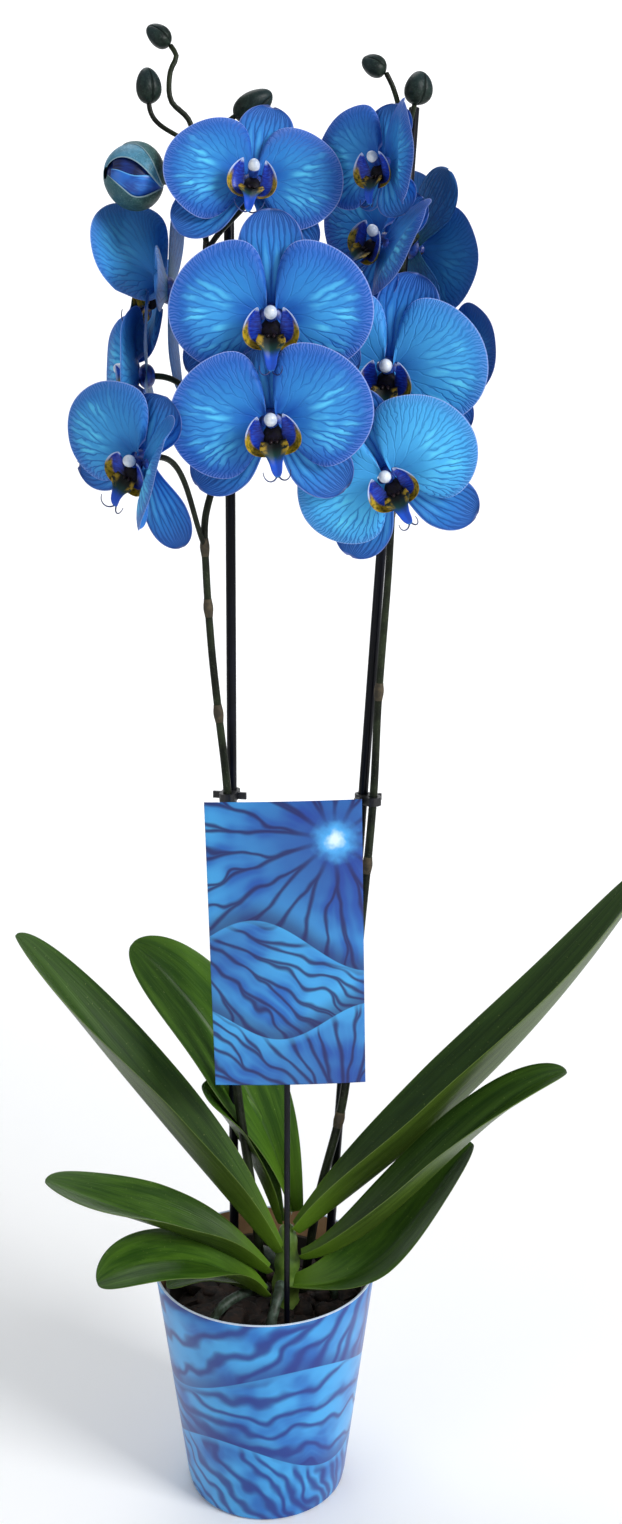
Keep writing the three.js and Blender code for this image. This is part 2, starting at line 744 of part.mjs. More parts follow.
// Clips: a plate with a hole for the stake and one for the stem, and two finger wings
const CLIPS = [
  { name: "clip_left", stake: 0, stem: 0, z: 392 },
  { name: "clip_right", stake: 1, stem: 1, z: 389 },
];

function stemAtHeight(index, z) {
  const curve = stemCurve(index);
  const steps = 400;
  const miss = (u) => Math.abs(curve.getPointAt(u).z - z);
  let best = 0;
  for (let k = 0; k <= steps; k++) {
    if (miss(k / steps) < miss(best)) best = k / steps;
  }
  return { at: curve.getPointAt(best), radius: stemRadius(index, best) };
}

function makeClip(clip) {
  const stake = onLine(STAKES[clip.stake], clip.z);
  const stem = stemAtHeight(clip.stem, clip.z);
  const across = Math.atan2(stem.at.y - stake.y, stem.at.x - stake.x);
  const distance = Math.hypot(stem.at.x - stake.x, stem.at.y - stake.y);
  const bores = [STAKE.radius + CLIP.play, stem.radius + CLIP.play];
  const outer = Math.max(...bores) + CLIP.wall;
  const outline = new THREE.Shape();
  outline.absarc(0, 0, outer, Math.PI / 2, (3 * Math.PI) / 2, false);
  outline.absarc(distance, 0, outer, -Math.PI / 2, Math.PI / 2, false);
  const { height } = CLIP;
  const plate = new THREE.ExtrudeGeometry(outline, { depth: height, bevelEnabled: false, curveSegments: 5 });
  const wing = new THREE.BoxGeometry(CLIP.wing, 2 * (outer + CLIP.wingReach), height * 0.8);
  wing.translate(distance / 2, 0, height / 2);
  const holes = bores.map((radius, k) => {
    const bore = new THREE.CylinderGeometry(radius, radius, 3 * height, 8);
    return solidOf(bore.rotateX(Math.PI / 2).translate(k * distance, 0, 0));
  });
  const made = trimmed(solidOf(plate).add(solidOf(wing)), holes);
  const place = new THREE.Matrix4().makeRotationZ(across);
  place.setPosition(stake.x, stake.y, clip.z - height / 2);
  return made.transform(place.elements);
}

// The card, a little bowed, leaning with its own thin stake, whose flat head is behind it
const cardLean = Math.atan2(
  CARD_STAKE.foot[1] - CARD_STAKE.top[1],
  CARD_STAKE.top[2] - CARD_STAKE.foot[2],
);
const cardPlace = new THREE.Matrix4()
  .makeTranslation(...CARD.centre)
  .multiply(new THREE.Matrix4().makeRotationX(cardLean))
  .multiply(new THREE.Matrix4().makeRotationY(rad(CARD.roll)));

function makeCard() {
  const { width, height, thickness, bow } = CARD;
  const surface = (across, along) =>
    vec((across - 0.5) * width, bow * (2 * across - 1) ** 2, (along - 0.5) * height);
  return bladeSolid(surface, 8, 1, () => thickness).transform(cardPlace.elements);
}

function makeCardStake() {
  const { radius, sides, foot, top } = CARD_STAKE;
  const bar = barSolid(straight(foot, top), () => radius, sides, 1);
  const head = new THREE.BoxGeometry(CARD_HEAD.width, CARD_HEAD.thickness, CARD_HEAD.height);
  head.translate(0, CARD.thickness / 2 + GAP + CARD_HEAD.thickness / 2, CARD_HEAD.rise);
  head.applyMatrix4(cardPlace);
  return bar.add(solidOf(head));
}

// Assembly
addMesh("vase", "vase", makeVase());
addMesh("nursery_pot", "pot", makePot());

const stems = STEMS.map((_, k) => makeStem(k));
const stemCutters = STEMS.map((stem) =>
  barSolid(route(stem.path.slice(0, 4)), () => stem.radius[0] + HOLE + 0.1, 7, 8),
);
const crownCutter = makeCrown(2 * GAP);
const rootCutters = ROOTS.map((root) => rootSolid(root, HOLE));
const rodHole = ({ foot, top }, radius, sides) =>
  barSolid(straight(foot, top), () => radius + HOLE, sides, 1);
const stakeCutters = STAKES.map((stake) => rodHole(stake, STAKE.radius, STAKE.sides));
const cardStakeCutter = rodHole(CARD_STAKE, CARD_STAKE.radius, CARD_STAKE.sides);

const barkHoles = [crownCutter, ...stemCutters, ...rootCutters, ...stakeCutters, cardStakeCutter];
addMesh("bark", "bark", makeBark(barkHoles));
addMesh("crown", "crown", trimmed(makeCrown(0), stemCutters));
for (const root of ROOTS) {
  addMesh(root.name, "root", trimmed(rootSolid(root, 0), [crownCutter, ...stemCutters]));
}

const leafCutters = [];
for (const leaf of LEAVES) {
  const cutters = [crownCutter, ...stemCutters, ...stakeCutters, ...rootCutters, ...leafCutters];
  addMesh(leaf.name, "leaf", trimmed(leafSolid(leaf, 0), cutters));
  leafCutters.push(leafSolid(leaf, 2 * GAP));
}

STEMS.forEach((stem, k) => addMesh(stem.name, "stem", stems[k]));
for (const stake of STAKES) addMesh(stake.name, "stake", makeStake(stake));
for (const clip of CLIPS) addMesh(clip.name, "clip", makeClip(clip));
addMesh("card_stake", "stake", makeCardStake());
addMesh("card", "card", makeCard());

for (const bloom of BLOOMS) {
  const matrix = bloomMatrix(bloom);
  addMesh(`${bloom.name}_petals`, "petals", makePetals(bloom).transform(matrix.elements));
  addMesh(`${bloom.name}_lip`, "lip", makeLip().transform(matrix.elements));
}
for (const bud of BUDS) addMesh(bud.name, "bud", makeBud(bud));

export default group;
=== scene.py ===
import math

import bpy
import numpy as np
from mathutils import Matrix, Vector


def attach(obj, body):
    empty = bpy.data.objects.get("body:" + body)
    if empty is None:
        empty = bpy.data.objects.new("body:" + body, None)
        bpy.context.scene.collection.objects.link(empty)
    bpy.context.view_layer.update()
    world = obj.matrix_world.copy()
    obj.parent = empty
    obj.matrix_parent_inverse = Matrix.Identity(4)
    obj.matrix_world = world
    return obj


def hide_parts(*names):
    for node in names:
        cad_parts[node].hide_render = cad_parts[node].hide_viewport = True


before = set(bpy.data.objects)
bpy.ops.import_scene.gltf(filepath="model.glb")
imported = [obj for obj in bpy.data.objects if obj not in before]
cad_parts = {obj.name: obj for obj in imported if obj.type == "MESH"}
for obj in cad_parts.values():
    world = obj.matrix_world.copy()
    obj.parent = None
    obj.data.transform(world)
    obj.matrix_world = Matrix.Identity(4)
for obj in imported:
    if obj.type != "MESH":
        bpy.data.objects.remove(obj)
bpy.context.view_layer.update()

# Driving dimensions
MM = 0.001
VASE = {"height": 130, "rim": 60, "foot": 43.5, "wall": 1.4, "bevel": 3, "sides": 160}
POT = {"top": 116, "rim": 54.6, "foot": 39, "floor": 1.7, "wall": 1, "depth": 4, "lip": 1, "sides": 120}
BARK_TOP = 101
FILLING = {"bottom": 3, "bottom_radius": 38, "radius": 52.0, "bevel": (6, 3), "crown": 0.5, "sides": 96}
CHIPS = {"count": 230, "seed": 11, "reach": 44, "sides": 8, "rings": 4}
CHIP_SIZE = [(6, 12), (4, 7), (2.5, 4.5)]
STAKE = {"radius": 2.5, "cap_radius": 3.1, "cap_height": 5}
CARD = {"width": 75, "height": 148, "thickness": 0.8, "bow": 1.5, "roll": -1.2}
CARD_CENTRE = (13.2, -49.2, 331.5)
CARD_HEAD = {"width": 9, "height": 44, "thickness": 1.2, "above_centre": 24, "gap": 0.3}
CARD_STAKE = {"foot": (12, -37, 62), "top": (13.7, -47.6, 372), "radius": 1.5}
FLOWER = {"petal": 43, "sepal": 43, "sepal_width": 29, "width": 90, "back": 6.3}
LEAF_RIB = 2.4
STEM_RADIUS = (2.5, 1.15)
STALK_RADII = {"bloom": (1.25, 1.5), "bud": (1, 1.15)}
PRINT_RADIUS = 52.0
GLOW = {"at": (62.0, 128.0), "reach": 13.0, "core": 6.0}

# Steps across and along each kind of blade
GRID = {
    "petal": (72, 40),
    "sepal": (36, 36),
    "side_lobe": (20, 40),
    "middle_lobe": (18, 36),
    "bud_shell": (28, 36),
    "leaf": (36, 80),
    "card": (24, 24),
    "card_head": (6, 10),
}


# Small helpers on arrays
def unit(v):
    return v / np.linalg.norm(v, axis=-1, keepdims=True)


def mix(a, b, t):
    return a + (b - a) * t


def smooth(x):
    x = np.clip(x, 0.0, 1.0)
    return x * x * (3 - 2 * x)


def vec(x, y, z):
    return np.stack(np.broadcast_arrays(x, y, z), axis=-1).astype(float)


def eased(steps):
    """Shares from 0 to 1 that crowd together at both ends."""
    return 0.5 - 0.5 * np.cos(np.linspace(0, math.pi, steps + 1))


def cubic(points, t):
    """The point of a cubic Bezier curve at t: the sum of its four points times its Bernstein weights."""
    a, b, c, d = np.asarray(points, float)
    t = np.asarray(t, float)[..., None]
    return a * (1 - t) ** 3 + 3 * b * t * (1 - t) ** 2 + 3 * c * t * t * (1 - t) + d * t**3


def cubic_slope(points, t):
    """The direction of a cubic Bezier curve at t, its derivative scaled to length 1."""
    a, b, c, d = np.asarray(points, float)
    t = np.asarray(t, float)[..., None]
    return unit((b - a) * (1 - t) ** 2 + 2 * (c - b) * t * (1 - t) + (d - c) * t * t)


class Path:
    """A curve as closely set points, read by the share of its length."""

    def __init__(self, points):
        steps = np.linalg.norm(np.diff(points, axis=0), axis=1)
        self.points = points
        self.length = steps.sum()
        self.share = np.r_[0, np.cumsum(steps)] / self.length

    def at(self, share):
        return np.stack([np.interp(share, self.share, axis) for axis in self.points.T], axis=-1)

    def slope(self, share):
        step = 2e-3
        ahead = self.at(np.minimum(share + step, 1))
        return unit(ahead - self.at(np.maximum(share - step, 0)))


def route(points, steps=24):
    """A centripetal Catmull-Rom curve. Between points b and c it is the Hermite cubic whose slope at b is
    y ((b - a) / x - (c - a) / (x + y) + (c - b) / y), x and y the square roots of |b - a| and |c - b|."""
    p = np.asarray(points, float)
    p = np.vstack([2 * p[0] - p[1], p, 2 * p[-1] - p[-2]])
    gaps = np.linalg.norm(np.diff(p, axis=0), axis=1) ** 0.5
    t = np.linspace(0, 1, steps, endpoint=False)[:, None]
    curve = []
    for k in range(1, len(p) - 2):
        a, b, c, d = p[k - 1 : k + 3]
        x, y, z = gaps[k - 1 : k + 2]
        leave = ((b - a) / x - (c - a) / (x + y) + (c - b) / y) * y
        arrive = ((c - b) / y - (d - b) / (y + z) + (d - c) / z) * y
        start = b * (2 * t**3 - 3 * t**2 + 1) + leave * (t**3 - 2 * t**2 + t)
        curve.append(start + c * (3 * t**2 - 2 * t**3) + arrive * (t**3 - t**2))
    curve.append(p[-2:-1])
    return Path(np.vstack(curve))


def bezier_path(points):
    return Path(cubic(points, np.linspace(0, 1, 60)))


def straight(foot, top):
    return Path(np.array([foot, top], float))


# Parts: points, faces, and what each point carries
class Part:
    """Points in millimetres and blocks of faces. uv goes with each point, mark is 1 on a shown face and
    0 on a back or, on a bud, in a seam, and slot picks the piece's material."""

    def __init__(self, points, faces, uv, mark=1.0, slot=0):
        self.points = points.reshape(-1, 3)
        self.faces = faces
        self.uv = uv.reshape(-1, 2)
        self.mark = np.zeros(len(self.points)) + np.ravel(mark)
        self.slot = slot

    def placed(self, turn, at):
        """The part with each point p moved to at + p turn."""
        return Part(self.points @ turn + at, self.faces, self.uv, self.mark, self.slot)


def grid_faces(rows, columns, wrap=False):
    """Four-sided faces between neighbouring points of a grid, closed round its rows if wrap."""
    across = columns if wrap else columns - 1
    j, i = np.meshgrid(np.arange(rows - 1), np.arange(across), indexing="ij")
    k = (i + 1) % columns
    corners = [j * columns + i, j * columns + k, (j + 1) * columns + k, (j + 1) * columns + i]
    return np.stack([c.ravel() for c in corners], axis=1)


def blade(surface, steps, thickness, towards=(0, 0, 1), slot=0):
    """A thin sheet with a rounded margin: the points S(u, v) + n h and S(u, v) - n h, where n is the unit
    normal dS/du x dS/dv and h is half the thickness times (1 - |2u - 1|^8)^0.5 (1 - |2v - 1|^8)^0.5.
    Its face towards the given direction carries mark 1."""
    u, v = np.meshgrid(*(eased(count) for count in steps))
    step = 1e-3
    du = surface(np.minimum(u + step, 1), v) - surface(np.maximum(u - step, 0), v)
    dv = surface(u, np.minimum(v + step, 1)) - surface(u, np.maximum(v - step, 0))
    normal = unit(np.cross(du, dv))
    rounding = np.sqrt((1 - np.abs(2 * u - 1) ** 8) * (1 - np.abs(2 * v - 1) ** 8))
    half = 0.5 * thickness(u, v) * np.maximum(rounding, 0.12)
    middle = surface(u, v)
    front = middle + normal * half[..., None]
    back = middle - normal * half[..., None]
    rows, columns = u.shape
    count = rows * columns
    faces = grid_faces(rows, columns)
    index = np.arange(count).reshape(rows, columns)
    rim = np.r_[index[0, :-1], index[:-1, -1], index[-1, :0:-1], index[:0:-1, 0]]
    after = np.roll(rim, -1)
    strip = np.stack([rim, rim + count, after + count, after], axis=1)
    shown = float((normal * np.asarray(towards)).sum(-1).mean() > 0)
    mark = np.r_[np.full(count, shown), np.full(count, 1 - shown)]
    uv = np.stack([u, v], axis=-1).reshape(-1, 2)
    points = np.concatenate([front.reshape(-1, 3), back.reshape(-1, 3)])
    return Part(points, [faces, faces[:, ::-1] + count, strip], np.tile(uv, (2, 1)), mark, slot)


def closed_rings(rings, first, last, mark=1.0, slot=0):
    """Rings of points one after another, closed by a fan to a point at either end."""
    rows, columns, _ = rings.shape
    around = np.arange(columns)
    after = (around + 1) % columns
    start, end = rows * columns, rows * columns + 1
    top = (rows - 1) * columns
    foot = np.stack([np.full(columns, start), after, around], axis=1)
    tip = np.stack([np.full(columns, end), top + around, top + after], axis=1)
    u, v = np.meshgrid(around / columns, np.linspace(0, 1, rows))
    uv = np.concatenate([np.stack([u, v], axis=-1).reshape(-1, 2), [[0.5, 0], [0.5, 1]]])
    points = np.concatenate([rings.reshape(-1, 3), [first, last]])
    if np.ndim(mark):
        mark = np.r_[np.ravel(mark), 1, 1]
    return Part(points, [grid_faces(rows, columns, True), foot, tip], uv, mark, slot)


def tube(path, radius, sides, steps, slot=0, dome=0.6):
    """A round bar along a path: c(s) + r(s) (a cos w + b sin w), s along the path, w round it, and a and b
    square to it. Each end has a dome of three rings."""
    bend = np.radians([30, 55, 75])
    share = np.r_[np.zeros(3), np.linspace(0, 1, steps + 1), np.ones(3)]
    scale = np.r_[np.cos(bend)[::-1], np.ones(steps + 1), np.cos(bend)]
    push = np.r_[-np.sin(bend)[::-1], np.zeros(steps + 1), np.sin(bend)] * dome
    slope = path.slope(share)
    axis = np.eye(3)[np.argmin(np.abs(slope).max(axis=0))]
    a = unit(np.cross(slope, axis))
    b = np.cross(slope, a)
    r = np.broadcast_to(radius(share), share.shape)
    w = np.linspace(0, 2 * math.pi, sides, endpoint=False)[None, :, None]
    centre = path.at(share) + slope * (push * r)[:, None]
    spoke = a[:, None] * np.cos(w) + b[:, None] * np.sin(w)
    rings = centre[:, None] + (r * scale)[:, None, None] * spoke
    first = path.at(0.0) - slope[0] * r[0] * dome
    last = path.at(1.0) + slope[-1] * r[-1] * dome
    return closed_rings(rings, first, last, slot=slot)


def egg(centre, direction, length, width, sides, rings, swell=None, slot=0):
    """An ellipsoid: c + d (L/2) s + (W/2) (1 - s^2)^0.5 k (a cos w + b sin w), s from -1 to 1 along
    its axis d, w round it, and k = swell(w, s), which also gives the mark."""
    d = unit(np.asarray(direction, float))
    axis = np.eye(3)[np.argmin(np.abs(d))]
    a = unit(np.cross(d, axis))
    b = np.cross(d, a)
    s = -np.cos(np.linspace(0, math.pi, rings + 2)[1:-1])
    w = np.linspace(0, 2 * math.pi, sides, endpoint=False)
    w, s = np.meshgrid(w, s)
    grow, mark = swell(w, s) if swell else (1.0, 1.0)
    reach = (width / 2 * np.sqrt(1 - s * s) * grow)[..., None]
    centre = np.asarray(centre, float)
    rings = centre + d * (length / 2 * s)[..., None]
    rings = rings + reach * (a * np.cos(w)[..., None] + b * np.sin(w)[..., None])
    return closed_rings(rings, centre - d * length / 2, centre + d * length / 2, mark, slot)


def turned(profile, sides):
    """A profile of (radius, height) turned round the Z axis, closed on the axis at both ends."""
    profile = np.asarray(profile, float)
    w = np.linspace(0, 2 * math.pi, sides, endpoint=False)[None, :]
    r, z = profile[1:-1, 0, None], profile[1:-1, 1, None]
    rings = vec(r * np.cos(w), r * np.sin(w), z + 0 * w)
    return closed_rings(rings, [0, 0, profile[0, 1]], [0, 0, profile[-1, 1]])


def piece(name, parts, materials, nodes, tone=0.0, pale=0.0, sharp=None):
    """One object of several parts, which stands for the named CAD nodes. Its materials read tone, so that
    no two blooms or leaves are coloured quite alike, and pale, which is painted light: how much lighter a
    bloom or the upper face of a leaf is coloured, standing in for the light that falls on it."""
    starts = np.cumsum([0] + [len(p.points) for p in parts])
    rows, slots = [], []
    for part, start in zip(parts, starts):
        for block in part.faces:
            rows.extend((block + start).tolist())
            slots.extend([part.slot] * len(block))
    mesh = bpy.data.meshes.new(name)
    mesh.from_pydata((np.concatenate([p.points for p in parts]) * MM).tolist(), [], rows)
    corners = np.empty(len(mesh.loops), dtype=np.int32)
    mesh.loops.foreach_get("vertex_index", corners)
    layer = mesh.uv_layers.new(name="uv")
    layer.data.foreach_set("uv", np.concatenate([p.uv for p in parts])[corners].ravel())
    marks = np.concatenate([p.mark for p in parts])
    whole = np.ones(len(marks))
    for key, values in (("mark", marks), ("tone", tone * whole), ("pale", pale * whole)):
        mesh.attributes.new(key, "FLOAT", "POINT").data.foreach_set("value", values)
    mesh.polygons.foreach_set("material_index", slots)
    mesh.shade_smooth()
    if sharp:
        mesh.set_sharp_from_angle(angle=math.radians(sharp))
    for material in materials:
        mesh.materials.append(material)
    obj = bpy.data.objects.new(name, mesh)
    bpy.context.scene.collection.objects.link(obj)
    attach(obj, "root")
    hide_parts(*nodes)
    return obj


# Materials: fields are values that shader nodes work out at each point
class Field:
    """The output of a shader node. Arithmetic on it adds Math nodes."""

    def __init__(self, graph, socket):
        self.graph = graph
        self.socket = socket

    def math(self, operation, *others):
        return self.graph.math(operation, self, *others)

    def __add__(self, other):
        return self.math("ADD", other)

    def __sub__(self, other):
        return self.math("SUBTRACT", other)

    def __mul__(self, other):
        return self.math("MULTIPLY", other)

    def __truediv__(self, other):
        return self.math("DIVIDE", other)

    def __abs__(self):
        return self.math("ABSOLUTE")

    __radd__ = __add__
    __rmul__ = __mul__

    def __rsub__(self, other):
        return self.graph.math("SUBTRACT", other, self)

    def power(self, other):
        return self.math("POWER", other)

    def step(self, low, high):
        """0 below low and 1 above high, smooth between them; the other way round if low is above high."""
        inputs = {0: self, 1: low, 2: high, 3: 0.0, 4: 1.0}
        return self.graph.add("MapRange", {"interpolation_type": "SMOOTHSTEP"}, inputs)


class Graph:
    """The nodes of one material."""

    def __init__(self, name):
        self.material = bpy.data.materials.new(name)
        self.material.use_nodes = True
        self.nodes = self.material.node_tree.nodes
        self.links = self.material.node_tree.links
        self.shader = self.nodes["Principled BSDF"]

    def feed(self, socket, value):
        if isinstance(value, Field):
            self.links.new(value.socket, socket)
        elif isinstance(value, tuple) and len(socket.default_value) == 4:
            socket.default_value = (*value, 1.0)
        else:
            socket.default_value = value

    def add(self, kind, settings=None, inputs=None, output=0):
        node = self.nodes.new("ShaderNode" + kind)
        for key, value in (settings or {}).items():
            setattr(node, key, value)
        for key, value in (inputs or {}).items():
            self.feed(node.inputs[key], value)
        return Field(self, node.outputs[output])

    def math(self, operation, *values):
        return self.add("Math", {"operation": operation}, dict(enumerate(values)))

    def vector(self, x, y, z=0.0):
        return self.add("CombineXYZ", None, {0: x, 1: y, 2: z})

    def split(self, vector):
        node = self.nodes.new("ShaderNodeSeparateXYZ")
        self.feed(node.inputs[0], vector)
        return [Field(self, output) for output in node.outputs]

    def uv(self):
        u, v, _ = self.split(self.add("UVMap", {"uv_map": "uv"}))
        return u, v

    def object(self):
        """The place on the object in millimetres."""
        place = self.add("TexCoord", output=3)
        scale = {0: place, "Scale": 1000.0}
        return self.add("VectorMath", {"operation": "SCALE"}, scale)

    def attribute(self, name):
        return self.add("Attribute", {"attribute_name": name}, output=2)

    def noise(self, vector, scale=1.0, detail=2.0, rough=0.5):
        inputs = {"Vector": vector, "Scale": scale, "Detail": detail, "Roughness": rough}
        return self.add("TexNoise", None, inputs)

    def cells(self, vector, scale):
        """How far a point is from the nearest border between the cells of a net."""
        inputs = {"Vector": vector, "Scale": scale}
        return self.add("TexVoronoi", {"feature": "DISTANCE_TO_EDGE"}, inputs)

    def blend(self, share, first, second):
        inputs = {0: share, 6: first, 7: second}
        return self.add("Mix", {"data_type": "RGBA"}, inputs, output=2)

    def bump(self, height, distance):
        """A relief of that height in millimetres where the field is 1."""
        inputs = {"Height": height, "Distance": distance * MM, "Strength": 1.0}
        self.feed(self.shader.inputs["Normal"], self.add("Bump", None, inputs))

    def finish(self, colour, roughness, **others):
        self.feed(self.shader.inputs["Base Color"], colour)
        self.feed(self.shader.inputs["Roughness"], roughness)
        for key, value in others.items():
            self.feed(self.shader.inputs[key.replace("_", " ")], value)
        return self.material


def rgb(code):
    """A screen colour such as "2f86d6" as linear light."""
    shares = [int(code[k : k + 2], 16) / 255 for k in (0, 2, 4)]
    return tuple(c / 12.92 if c <= 0.04045 else ((c + 0.055) / 1.055) ** 2.4 for c in shares)


def forked(cell, forks):
    """How far a point is, in cells, from the nearest of a set of veins. One vein runs along the middle of
    each cell, and each fork, growing from 0 to 1, parts every vein into two."""
    distance = abs(cell.math("FRACT") - 0.5)
    apart = 0.25
    for fork in forks:
        distance = abs(distance - fork * apart)
        apart /= 2
    return distance


def petal_material():
    """Both faces of a petal. u runs from its lower to its upper edge and v from the claw to the margin. The
    claw is smooth and deep blue, bright islands lie between the veins along the middle, and the veins end
    in a fine comb inside a thin pale rim."""
    g = Graph("petal")
    u, v = g.uv()
    mark = g.attribute("mark")
    tone = g.attribute("tone")
    pale = g.attribute("pale")
    sway = g.noise(g.vector(u * 6.0, v * 2.2, tone * 31.0), 1.0, 2.0) - 0.5
    wiggle = g.noise(g.vector(u * 26.0, v * 9.0, tone * 12.0), 1.0, 2.0) - 0.5
    blotch = g.noise(g.vector(u * 15.0, v * 3.0, tone * 17.0), 1.0, 2.0)
    cloud = g.noise(g.vector(u * 3.0, v * 2.5, tone * 53.0), 1.0, 2.0)
    axis = u - 0.45
    grown = v + sway * 0.3 + wiggle * 0.1
    cell = (u - axis * v * v * 0.14 + sway * 0.07 + wiggle * 0.024) * 6.0
    cell_width = v * 17.5 + 1.9
    forks = [grown.step(low, low + 0.24) for low in (0.14, 0.34, 0.56, 0.76)]
    wide = forked(cell, forks[:2]) * cell_width
    fine = forked(cell, forks) * cell_width
    middle = (abs(axis + 0.04) * 2.7 + cloud * 0.4).step(1.15, 0.3)
    zone = middle * grown.step(0.22, 0.55) * grown.step(0.96, 0.66)
    islands = wide.step(0.2, 1.5) * blotch.step(0.4, 0.66)
    body = g.blend(v.step(0.02, 0.4), rgb("1a50b0"), rgb("2c78c2"))
    body = g.blend(cloud.step(0.3, 0.7) * 0.5, body, rgb("3890d8"))
    body = g.blend(v.step(0.45, 0.95) * 0.8, body, rgb("2a5cb8"))
    body = g.blend((u.step(0.3, 0.02) + u.step(0.72, 1.0)) * 0.6, body, rgb("2456ae"))
    # Painted light: pale lightens the whole petal towards bright cyan here and brightens its islands below,
    # standing in for the light that falls on the bloom
    body = g.blend(zone * 0.32 + pale * 0.7, body, rgb("4fb8f4"))
    body = g.blend(zone * islands * (0.5 + 0.3 * mark + 0.2 * pale), body, rgb("66d8fc"))
    lower = 0.32 + 0.3 * u.step(0.65, 0.2)
    veins = fine.step(0.5 + 0.5 * wiggle, 0.08) * grown.step(0.15, 0.55)
    body = g.blend(veins * lower, body, rgb("16479c"))
    comb = fine.step(0.12, 0.42) * v.step(0.84, 0.985)
    body = g.blend(comb * 0.35, body, rgb("6f86d4"))
    side_gap = g.math("MINIMUM", u, 1.0 - u) * v * 117.0
    rim = g.math("MAXIMUM", v.step(0.982, 0.994), side_gap.step(0.6, 0.2) * v.step(0.35, 0.6))
    body = g.blend(rim * 0.55, body, rgb("a2b2ea"))
    colour = g.blend((1.0 - mark) * 0.3, body, rgb("3478bc"))
    g.bump(fine.step(0.55, 0.0) * 0.6 + blotch * 0.4, -0.2)
    return g.finish(colour, 0.5, Specular_IOR_Level=0.14)


def sepal_material():
    """Both faces of a sepal. u runs across it and v from its foot to its tip. Long navy veins send slanting
    branches to the margin, and the back is teal with a net between its veins."""
    g = Graph("sepal")
    u, v = g.uv()
    mark = g.attribute("mark")
    tone = g.attribute("tone")
    sway = g.noise(g.vector(u * 5.0, v * 3.0, tone * 23.0), 1.0, 2.0) - 0.5
    wiggle = g.noise(g.vector(u * 12.0, v * 14.0, tone * 9.0), 1.0, 2.0) - 0.5
    blotch = g.noise(g.vector(u * 9.0, v * 3.0, tone * 11.0), 1.0, 2.0)
    t = 2.0 * u - 1.0
    grown = v + sway * 0.2
    cell = (t * (1.0 - 0.36 * v * v) + sway * 0.1 + wiggle * 0.05) * 3.5 + 0.5
    forks = [grown.step(0.45, 0.75), grown.step(0.7, 0.95)]
    fine = forked(cell, forks) * 3.8
    trunk = forked(cell, forks[:1]) * 3.8
    side = abs(t).step(0.5, 1.0)
    branch = forked(v * 9.0 - abs(t) * 4.0 + sway * 3.0, []) * 3.8
    slant = branch.step(0.5, 0.1) * side * v.step(0.3, 0.5)
    veins = g.math("MAXIMUM", fine.step(0.45, 0.1), slant * 0.6) * v.step(0.0, 0.3)
    body = g.blend(v.step(0.0, 0.5), rgb("2166c4"), rgb("2d7cca"))
    body = g.blend(trunk.step(0.5, 1.6) * v.step(0.1, 0.3) * v.step(0.8, 0.5), body, rgb("469edf"))
    body = g.blend(side * 0.6, body, rgb("2756ac"))
    body = g.blend(v.step(0.6, 1.0) * 0.6, body, rgb("3c5cae"))
    body = g.blend(blotch.step(0.4, 0.8) * 0.25, body, rgb("4a80cc"))
    body = g.blend(veins * 0.6, body, rgb("163f88"))
    rim = g.math("MAXIMUM", v.step(0.972, 0.992), abs(t).step(0.95, 0.99))
    body = g.blend(rim * 0.5, body, rgb("93a0d8"))
    net = g.cells(g.vector(u * 9.0, v * 8.0), 1.3).step(0.14, 0.02)
    back = g.blend(v.step(0.0, 0.5), rgb("2e6c86"), rgb("2f6cb0"))
    back = g.blend(g.math("MAXIMUM", net * 0.5, fine.step(0.6, 0.1) * 0.6), back, rgb("1c4680"))
    colour = g.blend(mark, back, body)
    g.bump(fine.step(0.6, 0.0) * 0.6 + blotch * 0.4, -0.25)
    return g.finish(colour, 0.5, Specular_IOR_Level=0.14)


def side_lobe_material():
    """A wing of the lip. u runs from its inner edge to its rim and v from the bottom of the cup to the
    horn: deep blue inside, black towards the middle, an ochre band low on the rim and a pale line above."""
    g = Graph("lip_side")
    u, v = g.uv()
    mark = g.attribute("mark")
    tone = g.attribute("tone")
    mottle = g.noise(g.vector(u * 7.0, v * 12.0, tone * 13.0), 1.0, 3.0, 0.6)
    streak = g.noise(g.vector(u * 3.0, v * 34.0, tone * 7.0), 1.0, 2.0)
    dark = (u + v * 0.5 + mottle * 0.4).step(0.8, 0.35)
    inner = g.blend(streak.step(0.35, 0.7), rgb("10248c"), rgb("1a46c0"))
    inner = g.blend(dark, inner, rgb("07060c"))
    outer = g.blend(streak.step(0.3, 0.75), rgb("183a9c"), rgb("3a74d0"))
    outer = g.blend(v.step(0.45, 0.05) * mottle.step(0.35, 0.6), outer, rgb("8f7a1c"))
    body = g.blend(mark, outer, inner)
    ochre = g.blend(mottle.step(0.38, 0.7), rgb("a88d1e"), rgb("3c3c12"))
    band = (u + mottle * 0.14 - v * 0.4).step(0.42, 0.56) * v.step(0.78, 0.6) * v.step(0.0, 0.06)
    body = g.blend(band, body, ochre)
    line = g.math("MAXIMUM", u.step(0.86, 0.95) * v.step(0.52, 0.72), v.step(0.92, 0.98))
    colour = g.blend(line * 0.9, body, rgb("b4c4e8"))
    return g.finish(colour, 0.36, Specular_IOR_Level=0.3)


